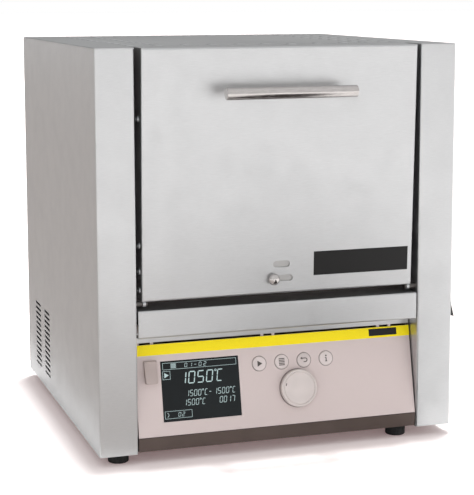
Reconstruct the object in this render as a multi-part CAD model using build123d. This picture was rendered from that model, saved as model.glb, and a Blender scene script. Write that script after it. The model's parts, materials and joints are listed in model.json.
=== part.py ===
from build123d import *
import math
import os

# Bench-top muffle furnace with a flap door over a sloped control panel.
# Millimetres. X runs to the right, Y to the rear, Z up from the bench.
# While the pieces are made, X = 0 is the middle of the housing and Y = 0 the front of its pillars.

# Housing
width = 380.0
depth = 382.0
housing_height = 404.0
foot_height = 14.0
skirt = 3.0
sheet = 1.2
bend = 1.8
pillar_width = 39.0
return_depth = 26.0
rear_flange = 18.0
tray_flange = 15.0
frame_sheet = 1.5
frame_face = 36.0
edge_round = 0.8

# Levels of the front, measured up from the housing's bottom edge
control_bay_height = 117.0
sill_height = 28.0
sill_gap = 1.5
sill_lower_flange = 14.0

# Vent holes in the top cover
vent_diameter = 8.0
vent_side_inset = 47.5
vent_front = 52.0
vent_rear_inset = 43.0
vent_rows = 11
vent_rim_height = 0.7
vent_rim_width = 1.5

# Vent slots low in the side panels
slot_length = 32.0
slot_height = 3.0
slot_pitch = 6.0
slot_rows = 13
slot_columns = 2
slot_rear_inset = 45.0
slot_column_gap = 21.0
slot_low = 18.0

# Feet
foot_diameter = 21.0
foot_taper = 1.5
front_foot_back = 20.0
rear_foot_front = 28.0
foot_left_inset = 23.0
foot_right_inset = 54.0

# Chamber and its insulation
chamber_width = 160.0
chamber_height = 100.0
chamber_depth = 140.0
floor_tile_thickness = 8.0
plate_thickness = 14.0
side_insulation = 52.0
rail_height = 6.0
shell_clearance = 13.1
rear_insulation = 74.0
block_joint = 0.2
collar_depth = 24.0
collar_rim = 35.0
mouth_flare = 4.0
shell_sheet = 1.0
rail_width = 20.0
rail_inset = 40.0

# Heating plates and wires
groove_width = 8.0
groove_depth = 9.0
coil_diameter = 6.0
coil_runs = 4
coil_pitch = 24.0
coil_margin = 14.0
lead_reach = 12.0

# Thermocouple and exhaust
sheath_diameter = 7.0
sheath_reach = 25.0
thermocouple_side = 34.0
thermocouple_drop = 16.0
head_diameter = 24.0
head_length = 18.0
exhaust_outer = 24.0
exhaust_bore = 18.0
exhaust_drop = 26.0
exhaust_flange_diameter = 52.0
exhaust_flange_thickness = 3.0

# Door
door_gap_side = 6.0
door_gap_below = 8.0
door_gap_above = 1.0
door_wall = 1.5
door_back = 32.0
door_recess = 3.5
door_lean = 1.95
door_edge_round = 2.0
board_inset_side = 20.0
board_inset_below = 16.0
board_inset_above = 14.0
pad_thickness = 5.2
seal_gap = 0.3
plug_length = 11.0
plug_inset = 1.0
plug_draft = 8.0
air_hole_diameter = 10.0

# Door hinge
hinge_back = 8.0
hinge_rise = 5.8
pin_diameter = 4.0
pin_collar_diameter = 6.0
pin_head = 1.5
running_gap = 0.05
arm_thickness = 3.0
arm_width = 17.0
arm_height = 68.0
eye_radius = 3.6
screw_diameter = 4.0
screw_head_diameter = 7.0
screw_head_height = 2.0
screw_length = 8.0
screw_back = 12.0
arm_screw_low = 10.5
arm_screw_middle = 29.5
arm_screw_high = 55.5
top_screw_drop = 69.5

# Door handle
bar_diameter = 12.0
bar_length = 136.0
bar_stand = 26.5
bar_drop = 43.345
bar_chamfer = 0.8
post_diameter = 8.0
post_inset = 11.0

# Air inlet slide, in the plane of the door's face and up from its lower edge
inlet_travel = 18.0
knob_diameter = 12.0
knob_height = 8.0
knob_stem = 4.8
knob_left = 8.4
knob_level = 15.7
inlet_level = 30.3
inlet_length = 18.0
inlet_height = 6.5
slide_thickness = 1.0
slide_gap = 0.3
slide_margin = 6.5
guide_lip = 2.0
slide_pocket = 6.0

# Control panel
panel_lower = 16.0
panel_slope = 12.5
panel_setback = 0.4
panel_gap = 1.0
panel_sheet = 1.5
panel_face_length = 93.2
panel_lip = 20.0
lip_bend = 1.8
stripe_width = 10.8
stripe_thickness = 0.4
web_slot = 2.0
web_width = 3.0
web_left_insets = (4.0, 19.0)
web_middle_places = (-14.0, -2.0)
web_right_insets = (35.0, 22.0)
tub_wall = 2.5
tub_depth = 66.0
tub_rim = 9.0
tub_gap = 0.6
plinth_setback = 1.0
plinth_foot = 8.0
plinth_drop = 1.4

# Display
display_width = 82.0
display_height = 60.5
display_inset = 26.5
display_low = 13.8
glass_thickness = 1.5
glass_gap = 0.15
display_module_depth = 6.0
display_module_rim = 3.0

# Keys
key_diameter = 14.4
key_level = 64.3
key_inset = 22.2
key_pitch = 24.4
key_stand = 0.5
key_travel = 0.8
key_gap = 0.3
key_flange = 1.3
key_flange_thickness = 1.2
key_crown = 0.5

# Jog dial
dial_diameter = 38.5
dial_height = 5.5
dial_inset = 40.0
dial_level = 36.4
dial_travel = 0.6
dial_gap = 0.9
dial_edge = 1.5
spindle_diameter = 6.0
plunger_diameter = 9.0
encoder_size = 16.0
encoder_depth = 8.0
spindle_clearance = 0.6

# USB port and its cover
usb_inset = 15.5
usb_level = 64.3
usb_cover_width = 12.8
usb_cover_height = 23.0
usb_cover_thickness = 2.0
usb_cover_toe = 6.5
usb_cover_corner = 2.0
usb_cover_taper = 0.4
usb_pin_diameter = 1.2
usb_knuckle_diameter = 2.4
usb_ear = 1.1
usb_bezel_thickness = 0.6
usb_mouth_width = 5.7
usb_mouth_height = 13.1
usb_wall = 0.4
usb_tongue = 1.9
usb_length = 13.0

# Controller board
board_thickness = 1.6
board_depth = 13.5
board_inset = 19.0
board_height = 66.0
board_low = 8.0
key_switch_size = 6.0
chip_length = 18.0
chip_width = 12.0
chip_height = 9.0
chip_step = 2.0
chip_first = 26.2
chip_pitch = 31.44

# Mains switch on the right side panel
switch_back = 14.0
switch_level = 124.0
switch_width = 15.0
switch_height = 30.5
switch_bezel = 2.0
switch_body_depth = 24.0
switch_body_margin = 1.25
rocker_width = 10.6
rocker_height = 22.0
rocker_gap = 0.35
rocker_reach = 8.1
rocker_swing = 24.0
rocker_hub = 2.2

# Rear cover fittings
fan_size = 80.0
fan_depth = 25.0
fan_inset = 98.0
fan_level = 76.0
fan_bore = 76.0
fan_hub_diameter = 32.0
fan_blades = 7
fan_blade_pitch = 38.0
fan_blade_thickness = 1.2
fan_tip_gap = 1.5
fan_spindle_diameter = 3.0
fan_strut = 5.0
fan_strut_thickness = 3.0
grille_slot = 5.0
grille_bar = 4.0
inlet_inset = 72.0
inlet_socket_level = 52.0
inlet_socket_width = 50.0
inlet_socket_height = 26.0
inlet_socket_flange = 3.0
inlet_socket_depth = 24.0
rear_screw_inset = 9.0
rear_screw_diameter = 7.0
rear_screw_head = 2.0
rear_screw_shank = 4.0
rear_screw_length = 6.0

# Power parts on the base plate
sink_width = 90.0
sink_length = 110.0
sink_base = 5.0
sink_height = 36.0
sink_fins = 9
sink_fin = 2.0
sink_inset = 130.0
sink_rear_inset = 122.0
relay_width = 45.0
relay_length = 58.0
relay_height = 23.0
terminal_length = 62.0
terminal_width = 20.0
terminal_height = 17.0
terminal_poles = 5
terminal_rear_inset = 82.0

# Door switch behind the front frame
door_switch_inset = 17.0
door_switch_drop = 7.7
door_switch_width = 20.0
door_switch_height = 8.0
door_switch_depth = 20.0
switch_pin_diameter = 3.0
switch_pin_gap = 0.3
switch_pin_travel = 3.0
switch_pin_grip = 13.0
switch_pin_room = 1.0

# Levels and planes that follow from the sizes above
half_width = width / 2
bottom = foot_height - skirt
top = bottom + housing_height
cover_top = top - vent_rim_height
panel_top = cover_top - sheet
panel_back = depth - sheet
inner_half = half_width - sheet
bay_half = half_width - pillar_width
foot_left = half_width - foot_left_inset
foot_right = half_width - foot_right_inset
fan_side = -half_width + fan_inset
inlet_side = half_width - inlet_inset
sink_side = half_width - sink_inset
vent_rear = depth - vent_rear_inset
slot_first = depth - slot_rear_inset - slot_columns * slot_length - (slot_columns - 1) * slot_column_gap
sink_back = depth - sink_rear_inset - sink_length
terminal_back = depth - terminal_rear_inset
sill_bottom = bottom + control_bay_height
sill_top = sill_bottom + sill_height
deck_top = sill_top
frame_back = frame_face + frame_sheet
tray_top = foot_height + sheet

door_bottom = sill_top + door_gap_below
door_top = top - door_gap_above
door_half = bay_half - door_gap_side
door_switch_side = door_half - door_switch_inset
door_middle = (door_bottom + door_top) / 2
lean = math.radians(door_lean)
hinge_level = sill_top + hinge_rise

chamber_floor = door_middle - chamber_height / 2
chamber_roof = door_middle + chamber_height / 2
cavity_floor = chamber_floor - floor_tile_thickness
cavity_half = chamber_width / 2 + plate_thickness
chamber_front = frame_face + collar_depth
chamber_back = chamber_front + chamber_depth
block_half = cavity_half + side_insulation
block_bottom = deck_top + rail_height + shell_sheet
block_top = panel_top - shell_clearance - shell_sheet
block_back = chamber_back + rear_insulation
shell_back = block_back + shell_sheet
shell_bottom = block_bottom - shell_sheet
collar_half = chamber_width / 2 + collar_rim
collar_bottom = door_middle - chamber_height / 2 - collar_rim
collar_top = door_middle + chamber_height / 2 + collar_rim
exhaust_level = chamber_roof - exhaust_drop

slope = math.radians(panel_slope)
panel_half = bay_half - panel_gap
display_side = -panel_half + display_inset + display_width / 2
key_first = display_side + display_width / 2 + key_inset
dial_side = key_first + dial_inset
usb_side = -panel_half + usb_inset
board_width = 2 * (panel_half - board_inset)
panel_foot = bottom + panel_lower
panel_plane = Plane(
    origin=(0, panel_setback, panel_foot),
    x_dir=(1, 0, 0),
    z_dir=(0, -math.cos(slope), math.sin(slope)),
)
door_plane = Plane(
    origin=(0, door_recess, door_bottom),
    x_dir=(1, 0, 0),
    z_dir=(0, -math.cos(lean), -math.sin(lean)),
)
# Where the door plane's own distances up the face become heights
face_rise = math.cos(lean)
bar_level = (door_top - door_bottom) / face_rise - bar_drop


def block(x_low, x_high, y_low, y_high, z_low, z_high):
    """A straight-sided solid between two corners."""
    size = (x_high - x_low, y_high - y_low, z_high - z_low)
    return Pos(x_low, y_low, z_low) * Box(*size, align=(Align.MIN, Align.MIN, Align.MIN))


def rod(radius, start, end):
    """A round bar between two points."""
    start = Vector(*start)
    reach = Vector(*end) - start
    return extrude(Plane(origin=start, z_dir=reach) * Circle(radius), amount=reach.length)


def group(solids):
    """Like pieces kept as separate solids of one node."""
    return Part() + solids


def folded(corners, radius, thickness):
    """The section of a folded sheet: its outer corners, rounded, with the thickness on their right."""
    line = FilletPolyline(*corners, radius=radius)
    return make_face(offset(line, amount=thickness, side=Side.RIGHT))


def along_x(section, half_length):
    """Extrudes a section drawn in Y and Z to both sides of the middle."""
    return extrude(Plane.YZ * section, amount=half_length, both=True)


def on_panel(x, rise, stand=0.0):
    """A place on the control panel: sideways, up the slope and out of its face."""
    return panel_plane * Pos(x, rise, stand)


def on_door(x, rise, stand=0.0):
    """A place on the door's leaning face: sideways, up the face and out of it."""
    return door_plane * Pos(x, rise, stand)


def door_face(level):
    """How far behind the pillars the door's face lies at a height."""
    return door_recess - (level - door_bottom) * math.tan(lean)


# Housing

def vent_field():
    """The punched slots low in a side panel, in two columns."""
    slots = []
    for column in range(slot_columns):
        for row in range(slot_rows):
            y_middle = slot_first + slot_length / 2 + column * (slot_length + slot_column_gap)
            z_middle = bottom + slot_low + slot_height / 2 + row * slot_pitch
            shape = Pos(y_middle, z_middle) * SlotOverall(slot_length, slot_height)
            slots.append(extrude(Plane.YZ * shape, amount=width, both=True))
    return slots


def side_panel():
    """The left-hand side sheet: pillar with its return flange, side and rear flange."""
    corners = [
        (-bay_half, return_depth),
        (-bay_half, 0),
        (-half_width, 0),
        (-half_width, panel_back),
        (-half_width + rear_flange, panel_back),
    ]
    section = folded(corners, bend, sheet)
    panel = extrude(Plane.XY.offset(bottom) * section, amount=panel_top - bottom)
    return panel - vent_field()


def switch_cutout():
    """The hole in the right-hand panel that the mains switch snaps into."""
    y_half = switch_width / 2 - switch_body_margin
    z_half = switch_height / 2 - switch_body_margin
    level = bottom + switch_level
    return block(
        inner_half - 1, half_width + 1,
        switch_back - y_half, switch_back + y_half,
        level - z_half, level + z_half,
    )


def vent_places():
    """The ring of vent holes: one row front and rear, two staggered columns at each side."""
    half_count = vent_rows // 2
    pitch = (half_width - vent_side_inset) / half_count
    row_step = (vent_rear - vent_front) / (vent_rows - 1)
    places = []
    for step in range(-half_count, half_count + 1):
        places.append((step * pitch, vent_front))
        places.append((step * pitch, vent_rear))
    for row in range(1, vent_rows - 1):
        y_place = vent_front + row * row_step
        for side in (-1, 1):
            places.append((side * half_count * pitch, y_place))
    for row in range(vent_rows - 1):
        y_place = vent_front + (row + 0.5) * row_step
        for side in (-1, 1):
            places.append((side * (half_count - 1) * pitch, y_place))
    return places


def top_cover():
    """The lid sheet: cut back above the door, its vent holes pressed up into low collars."""
    plate = block(-half_width, half_width, 0, depth, panel_top, cover_top)
    plate = fillet(plate.edges().filter_by(Axis.Z), bend)
    plate = fillet(plate.faces().sort_by(Axis.Z)[-1].edges(), edge_round)
    plate -= block(-bay_half, bay_half, -1, frame_face, panel_top - 1, top + 1)
    places = vent_places()
    radius = vent_diameter / 2
    foot = [Pos(x, y) * Circle(radius + vent_rim_width) for x, y in places]
    plate += extrude(Plane.XY.offset(cover_top) * Sketch(foot), amount=vent_rim_height, taper=45)
    holes = [Pos(x, y) * Circle(radius) for x, y in places]
    return plate - extrude(Plane.XY.offset(panel_top - 1) * Sketch(holes), amount=2 * sheet + 1)


def grille_slots():
    """Slots of the fan grille, cut to a disc."""
    pitch = grille_slot + grille_bar
    radius = fan_bore / 2 - 2
    count = int((radius - grille_slot) // pitch)
    slots = []
    for row in range(-count, count + 1):
        lift = row * pitch
        half = math.sqrt(radius ** 2 - lift ** 2)
        shape = Pos(fan_side, bottom + fan_level + lift) * SlotOverall(2 * half, grille_slot)
        slots.append(extrude(Plane.XZ.offset(-depth - 1) * shape, amount=sheet + 2))
    return slots


def rear_screw_places():
    """Where the rear cover is screwed to the side panels' flanges."""
    x_place = half_width - rear_screw_inset
    rise = housing_height - 2 * sheet
    levels = [bottom + rise * share for share in (0.06, 0.35, 0.65, 0.94)]
    return [(side * x_place, level) for side in (-1, 1) for level in levels]


def rear_cover():
    """The rear sheet with the fan grille and the openings for exhaust, mains inlet and screws."""
    plate = block(-half_width, half_width, panel_back, depth, bottom, panel_top)
    plate -= grille_slots()
    plate -= rod(exhaust_outer / 2 + seal_gap, (0, panel_back - 1, exhaust_level), (0, depth + 1, exhaust_level))
    level = bottom + inlet_socket_level
    half = inlet_socket_width / 2 - inlet_socket_flange * 2
    rise = inlet_socket_height / 2
    plate -= block(
        inlet_side - half, inlet_side + half, panel_back - 1, depth + 1, level - rise, level + rise
    )
    for x, z in rear_screw_places():
        plate -= rod(rear_screw_shank / 2 + seal_gap / 2, (x, panel_back - 1, z), (x, depth + 1, z))
    return plate


def rear_screws():
    """Round-headed screws of the rear cover."""
    screws = []
    for x, z in rear_screw_places():
        head = rod(rear_screw_diameter / 2, (x, depth, z), (x, depth + rear_screw_head, z))
        head = fillet(head.edges().sort_by(Axis.Y)[-1], rear_screw_head / 2)
        shank = rod(rear_screw_shank / 2, (x, panel_back, z), (x, depth, z))
        screws.append(head + shank)
    return group(screws)


def base_plate():
    """The floor tray: flanges up at the sides and rear, cut back round the pillars and the plinth."""
    back = panel_back - sheet
    tray = block(-inner_half, inner_half, bend, back, foot_height, tray_top + tray_flange)
    tray = fillet(tray.edges().filter_by(Axis.Z), bend)
    hollow = block(
        -inner_half + sheet, inner_half - sheet, 2 * bend, back - sheet, tray_top, tray_top + tray_flange + 1
    )
    tray -= fillet(hollow.edges().filter_by(Axis.Z), bend - sheet)
    tray -= block(-width, width, -1, frame_back, tray_top, tray_top + tray_flange + 1)
    plinth = plinth_setback + plinth_foot + tub_gap
    tray -= block(-bay_half, bay_half, -1, plinth, foot_height - 1, tray_top + 1)
    for side in (-1, 1):
        x_middle = side * (bay_half + sheet / 2)
        tray -= block(
            x_middle - sheet / 2 - tub_gap, x_middle + sheet / 2 + tub_gap,
            -1, return_depth + tub_gap, foot_height - 1, tray_top + 1,
        )
    return tray


def feet():
    """Four moulded rubber feet under the base plate."""
    profile = Circle(foot_diameter / 2)
    foot = extrude(profile, amount=foot_height, taper=-foot_taper)
    foot = fillet(foot.edges().sort_by(Axis.Z)[0], 1.5)
    places = [
        (-foot_left, front_foot_back),
        (foot_right, front_foot_back),
        (-foot_left, depth - rear_foot_front),
        (foot_right, depth - rear_foot_front),
    ]
    return group([Pos(x, y, 0) * foot for x, y in places])


def front_sill():
    """The cross member under the door, a folded channel that runs back to the front frame."""
    corners = [(sill_lower_flange, sill_bottom), (0, sill_bottom), (0, sill_top), (frame_face, sill_top)]
    section = folded(corners, bend, sheet)
    return along_x(section, bay_half - sill_gap)


def front_frame():
    """The dark plate behind the door, with the window for the collar and a flange under the top cover."""
    low = sill_top - 2 * bend
    corners = [(frame_face, low), (frame_face, panel_top), (frame_face + tray_flange, panel_top)]
    section = folded(corners, bend, frame_sheet)
    frame = along_x(section, inner_half)
    frame -= block(
        -collar_half, collar_half, frame_face - 1, frame_back + 1, collar_bottom, collar_top
    )
    x, z = door_switch_side, door_top - door_switch_drop
    frame -= rod(switch_pin_diameter / 2 + seal_gap, (x, frame_face - 1, z), (x, frame_back + 1, z))
    return frame


def deck_plate():
    """The shelf between the control bay and the furnace, with two raised rails under the inner shell."""
    back = panel_back - sheet
    deck = block(-inner_half, inner_half, frame_back, back, deck_top - tray_flange, deck_top)
    deck = chamfer(deck.faces().sort_by(Axis.Y)[-1].edges().filter_by(Axis.Z), bend)
    deck -= block(
        -inner_half + sheet, inner_half - sheet, frame_back - 1, back + 1,
        deck_top - tray_flange - 1, deck_top - sheet,
    )
    for side in (-1, 1):
        x_middle = side * (block_half - rail_inset)
        rail = block(
            x_middle - rail_width / 2, x_middle + rail_width / 2,
            frame_back + sheet, shell_back - sheet, deck_top, shell_bottom,
        )
        rail = fillet(rail.faces().sort_by(Axis.Z)[-1].edges().filter_by(Axis.Y), bend / 2)
        hollow = block(
            x_middle - rail_width / 2 + sheet, x_middle + rail_width / 2 - sheet,
            frame_back, shell_back, deck_top - 2 * sheet, shell_bottom - sheet,
        )
        deck = deck + rail - hollow
    return deck


# Chamber

def inner_shell():
    """The inner casing round the insulation, open to the front."""
    shell = block(
        -block_half - shell_sheet, block_half + shell_sheet,
        frame_back, shell_back, shell_bottom, block_top + shell_sheet,
    )
    shell = fillet(shell.edges().filter_by(Axis.Y), bend / 2)
    shell -= block(-block_half, block_half, frame_back - 1, block_back, block_bottom, block_top)
    shell -= exhaust_passage()
    shell -= sheath_passage()
    for side in (-1, 1):
        shell -= lead_passages(side)
    return shell


def exhaust_passage():
    """The hole for the exhaust tube through block and casing."""
    return rod(
        exhaust_outer / 2 + seal_gap,
        (0, chamber_back - 1, exhaust_level), (0, shell_back + 1, exhaust_level),
    )


def sheath_passage():
    """The hole for the thermocouple through block and casing."""
    x, z = thermocouple_side, chamber_roof - thermocouple_drop
    return rod(sheath_diameter / 2 + seal_gap, (x, chamber_back - 1, z), (x, shell_back + 1, z))


def coil_levels():
    """Heights of the heating wire's straight runs."""
    middle = (cavity_floor + chamber_roof) / 2
    lowest = middle - (coil_runs - 1) * coil_pitch / 2
    return [lowest + run * coil_pitch for run in range(coil_runs)]


def coil_path(back):
    """The heating wire's route on its plate, in Y and Z: in, three turns and out to the rear."""
    near = chamber_front + coil_margin
    far = chamber_back - coil_margin
    points = [(back, coil_levels()[0])]
    for run, level in enumerate(coil_levels()[:-1]):
        turn = near if run % 2 == 0 else far
        points.append((turn, level))
        points.append((turn, coil_levels()[run + 1]))
    points.append((back, coil_levels()[-1]))
    return FilletPolyline(*points, radius=coil_pitch / 2 - 0.1)


def coil_plane(side):
    """The upright plane that a heating wire lies in."""
    return Plane.YZ.offset(side * (chamber_width / 2 + groove_depth / 2))


def mouth_collar():
    """The insulation ring round the chamber's mouth, seated in the front frame's window."""
    ring = block(-block_half, block_half, frame_back, chamber_front, block_bottom, block_top)
    ring += block(-collar_half, collar_half, frame_face, frame_back, collar_bottom, collar_top)
    wide = Plane.XZ.offset(-frame_face) * Pos(0, door_middle) * Rectangle(
        chamber_width + 2 * mouth_flare, chamber_height + 2 * mouth_flare
    )
    narrow = Plane.XZ.offset(-chamber_front) * Pos(0, door_middle) * Rectangle(chamber_width, chamber_height)
    return ring - loft([wide, narrow])


def insulation_floor():
    """The block under the chamber."""
    return block(-block_half, block_half, chamber_front, block_back, block_bottom, cavity_floor)


def insulation_roof():
    """The block over the chamber."""
    return block(-block_half, block_half, chamber_front, block_back, chamber_roof, block_top)


def insulation_sides():
    """The blocks behind the two heating plates, with a joint to the blocks round them."""
    near = cavity_half + block_joint
    far = block_half - block_joint
    back = block_back - block_joint
    left = block(-far, -near, chamber_front, back, cavity_floor, chamber_roof)
    right = block(near, far, chamber_front, back, cavity_floor, chamber_roof)
    return group([left, right])


def lead_passages(side):
    """Holes for a heating wire's two ends through the rear block and the casing."""
    x = side * (chamber_width / 2 + groove_depth / 2)
    holes = []
    for z in (coil_levels()[0], coil_levels()[-1]):
        holes.append(rod(coil_diameter / 2 + seal_gap, (x, chamber_back - 1, z), (x, shell_back + 1, z)))
    return holes


def insulation_rear():
    """The block behind the chamber, bored for exhaust, thermocouple and heater leads."""
    rear = block(-cavity_half, cavity_half, chamber_back, block_back, cavity_floor, chamber_roof)
    rear -= exhaust_passage()
    rear -= sheath_passage()
    for side in (-1, 1):
        rear -= lead_passages(side)
    return rear


def heating_plate(side):
    """A ceramic plate with the winding groove for its heating wire open to the chamber."""
    outer = side * cavity_half
    inner = side * chamber_width / 2
    plate = block(
        min(outer, inner), max(outer, inner), chamber_front, chamber_back, cavity_floor, chamber_roof
    )
    track = trace(coil_path(chamber_back + groove_width), line_width=groove_width)
    face = Plane.YZ.offset(inner)
    return plate - extrude(face * track, amount=side * groove_depth)


def heating_wire(side):
    """The wound heating wire as a round bar of its coil's size, with both leads out to the rear."""
    plane = coil_plane(side)
    path = plane * coil_path(shell_back + lead_reach)
    return sweep(Plane(origin=path @ 0, z_dir=path % 0) * Circle(coil_diameter / 2), path=path)


def floor_tile():
    """The ceramic tile on the chamber floor."""
    tile = block(
        -chamber_width / 2, chamber_width / 2, chamber_front, chamber_back, cavity_floor, chamber_floor
    )
    return chamfer(tile.faces().sort_by(Axis.Z)[-1].edges(), 0.8)


def thermocouple():
    """Ceramic sheath into the chamber, with its connection head and two terminal studs on the casing."""
    x, z = thermocouple_side, chamber_roof - thermocouple_drop
    back = shell_back + head_length
    sheath = rod(sheath_diameter / 2, (x, chamber_back - sheath_reach, z), (x, back, z))
    sheath = fillet(sheath.edges().sort_by(Axis.Y)[0], sheath_diameter / 2 - 0.2)
    head = rod(head_diameter / 2, (x, shell_back, z), (x, back, z))
    head = fillet(head.edges().sort_by(Axis.Y)[-1], 2)
    studs = [rod(1.5, (x + offset, back - 1, z), (x + offset, back + 5, z)) for offset in (-6, 6)]
    return sheath + head + studs


def exhaust_tube():
    """The tube that leads waste air from the chamber out through the rear cover."""
    level = exhaust_level
    tube = rod(exhaust_outer / 2, (0, chamber_back, level), (0, depth + exhaust_flange_thickness, level))
    return tube - rod(exhaust_bore / 2, (0, chamber_back - 1, level), (0, depth + 10, level))


def exhaust_flange():
    """The ring that closes the gap round the exhaust tube on the rear cover."""
    level = exhaust_level
    ring = rod(exhaust_flange_diameter / 2, (0, depth, level), (0, depth + exhaust_flange_thickness, level))
    ring = chamfer(ring.edges().sort_by(Axis.Y)[-1], 1)
    return ring - rod(exhaust_outer / 2 + seal_gap, (0, depth - 1, level), (0, depth + 10, level))


# Door

def door_outline(inset):
    """The door's side view, drawn in by a wall on every side but the back."""
    low = door_bottom + inset
    high = door_top - inset
    face = inset / math.cos(lean)
    points = [
        (door_face(low) + face, low),
        (door_face(high) + face, high),
        (door_back, high),
        (door_back, low),
    ]
    return make_face(Polyline(*points, close=True))


def slide_strip(x_middle, rise_low, rise_high, half, stand_low, stand_high):
    """A flat strip parallel to the door's face, behind it where its stands are negative."""
    size = (2 * half, rise_high - rise_low, stand_high - stand_low)
    place = on_door(x_middle, rise_low, stand_low)
    return place * Box(*size, align=(Align.CENTER, Align.MIN, Align.MIN))


def door_shell():
    """The folded front tray of the door with its slide slot, air window, slide guides and screw holes."""
    shell = along_x(door_outline(0), door_half)
    front = shell.faces().sort_by(Axis.Y)[0]
    shell = fillet(front.edges(), door_edge_round)
    hollow = along_x(door_outline(door_wall), door_half - door_wall)
    hollow += block(
        -door_half + door_wall, door_half - door_wall,
        door_back - 0.5, door_back + 1, door_bottom + door_wall, door_top - door_wall,
    )
    shell -= hollow
    slot_middle = -knob_left + inlet_travel / 2
    slot = Pos(slot_middle, knob_level) * SlotOverall(inlet_travel + knob_stem + 1.6, knob_stem + 1.6)
    window = Pos(slot_middle, inlet_level) * SlotOverall(inlet_length, inlet_height)
    shell -= extrude(door_plane * slot, amount=3 * door_wall, both=True)
    shell -= extrude(door_plane * window, amount=3 * door_wall, both=True)
    shell += slide_guides()
    for side in (-1, 1):
        for level in screw_heights():
            shell -= rod(
                screw_diameter / 2 + running_gap,
                (side * (door_half + 1), screw_back, level), (side * (door_half - 2 * door_wall), screw_back, level),
            )
        shell -= arm_slot(side)
        shell -= rod(
            pin_collar_diameter / 2 + seal_gap,
            (side * (door_half + 1), hinge_back, hinge_level),
            (side * (door_half - door_wall - arm_thickness - pin_head - 2 * seal_gap), hinge_back, hinge_level),
        )
    return shell


def slide_half():
    """Half the length of the air slide's plate."""
    return inlet_travel + slide_margin


def slide_guides():
    """Two stepped strips behind the door's face that keep the air slide against it."""
    low = knob_level - knob_stem / 2 - slide_margin
    high = inlet_level + inlet_height / 2 + slide_margin
    half = slide_half() + inlet_travel
    x_middle = -knob_left + inlet_travel / 2
    back = -door_wall
    step = back - slide_gap - slide_thickness - slide_gap
    base = guide_lip * 1.5
    strips = [
        slide_strip(x_middle, low - slide_gap - base, low - slide_gap, half, step, back),
        slide_strip(x_middle, high + slide_gap, high + slide_gap + base, half, step, back),
        slide_strip(x_middle, low - slide_gap - base, low + guide_lip, half, step - 1, step),
        slide_strip(x_middle, high - guide_lip, high + slide_gap + base, half, step - 1, step),
    ]
    return strips


def air_slide_plate():
    """The shutter behind the door's face, with the window that uncovers the air inlet."""
    low = knob_level - knob_stem / 2 - slide_margin
    high = inlet_level + inlet_height / 2 + slide_margin
    front = -door_wall - slide_gap
    plate = slide_strip(-knob_left, low, high, slide_half(), front - slide_thickness, front)
    middle = -knob_left + inlet_travel / 2 - inlet_travel
    window = Pos(middle, inlet_level) * SlotOverall(inlet_length - 1, inlet_height)
    return plate - extrude(door_plane * window, amount=10, both=True)


def air_slide_knob():
    """The turned knob of the air slide: domed head, flared underside and stem through the slot."""
    radius = knob_diameter / 2
    neck = knob_stem / 2
    widest = knob_height * 0.45
    stem = Polyline(
        (0, knob_height), (0, -door_wall - slide_gap), (neck, -door_wall - slide_gap),
        (neck, 1), (radius, widest),
    )
    dome = TangentArc((0, knob_height), (radius, widest), tangent=(1, 0))
    knob = revolve(Plane.XZ * make_face(stem + dome), axis=Axis.Z)
    return on_door(-knob_left, knob_level) * knob


def screw_heights():
    """Heights of the screws in the door's side flanges."""
    low_levels = [door_bottom + level for level in (arm_screw_low, arm_screw_middle, arm_screw_high)]
    return low_levels + [door_top - top_screw_drop]


def arm_slot(side):
    """The slot in the door's lower flange that a hinge arm passes through."""
    outer = side * (door_half - door_wall)
    inner = side * (door_half - door_wall - arm_thickness - seal_gap)
    return block(
        min(outer, inner), max(outer, inner),
        door_face(door_bottom) + door_wall, hinge_back + arm_width / 2 + door_wall,
        door_bottom - 1, door_bottom + door_wall + 1,
    )


def hinge_arm(side):
    """The plate screwed inside the door's side flange, with the eye for the hinge pin at its foot."""
    outer = side * (door_half - door_wall)
    inner = outer - side * arm_thickness
    front = door_face(door_bottom) + door_wall + seal_gap
    back = front + arm_width
    head = door_bottom + arm_height
    neck = hinge_level - eye_radius / 2
    outline = Polyline(
        (hinge_back, neck),
        (hinge_back + eye_radius, neck),
        (hinge_back + eye_radius + door_wall, door_bottom + door_wall),
        (back, door_bottom + door_wall + 2 * bend),
        (back, head),
        (front, head),
        (front, door_bottom + 0.4),
        (hinge_back, door_bottom + 0.4),
        close=True,
    )
    shape = make_face(outline) + Pos(hinge_back, hinge_level) * Circle(eye_radius)
    shape -= Pos(hinge_back, hinge_level) * Circle(pin_diameter / 2 + running_gap)
    for level in screw_heights()[:-1]:
        shape -= Pos(screw_back, level) * Circle(screw_diameter / 2 + running_gap)
    return extrude(Plane.YZ.offset(min(outer, inner)) * shape, amount=arm_thickness)


def hinge_arms():
    """Both hinge arms."""
    return group([hinge_arm(-1), hinge_arm(1)])


def hinge_pin(side):
    """A shouldered hinge pin: riveted through the pillar's return flange, its head inside the arm."""
    flange_outer = side * bay_half
    flange_inner = side * (bay_half + sheet)
    arm_outer = side * (door_half - door_wall)
    arm_inner = arm_outer - side * arm_thickness
    head_outer = arm_inner - side * seal_gap
    head_inner = head_outer - side * pin_head
    y, z = hinge_back, hinge_level
    collar = pin_collar_diameter / 2
    pin = rod(pin_diameter / 2, (flange_inner, y, z), (head_outer, y, z))
    pin += rod(collar, (flange_outer, y, z), (arm_outer + side * seal_gap, y, z))
    pin += rod(collar, (head_outer, y, z), (head_inner, y, z))
    pin += rod(collar, (flange_inner + side * pin_head, y, z), (flange_inner, y, z))
    return pin


def hinge_pins():
    """Both hinge pins."""
    return group([hinge_pin(-1), hinge_pin(1)])


def hinge_pin_hole():
    """The hole for a hinge pin in the left pillar's return flange."""
    return rod(
        pin_diameter / 2, (-bay_half - 2 * sheet, hinge_back, hinge_level),
        (-bay_half + sheet, hinge_back, hinge_level),
    )


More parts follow.
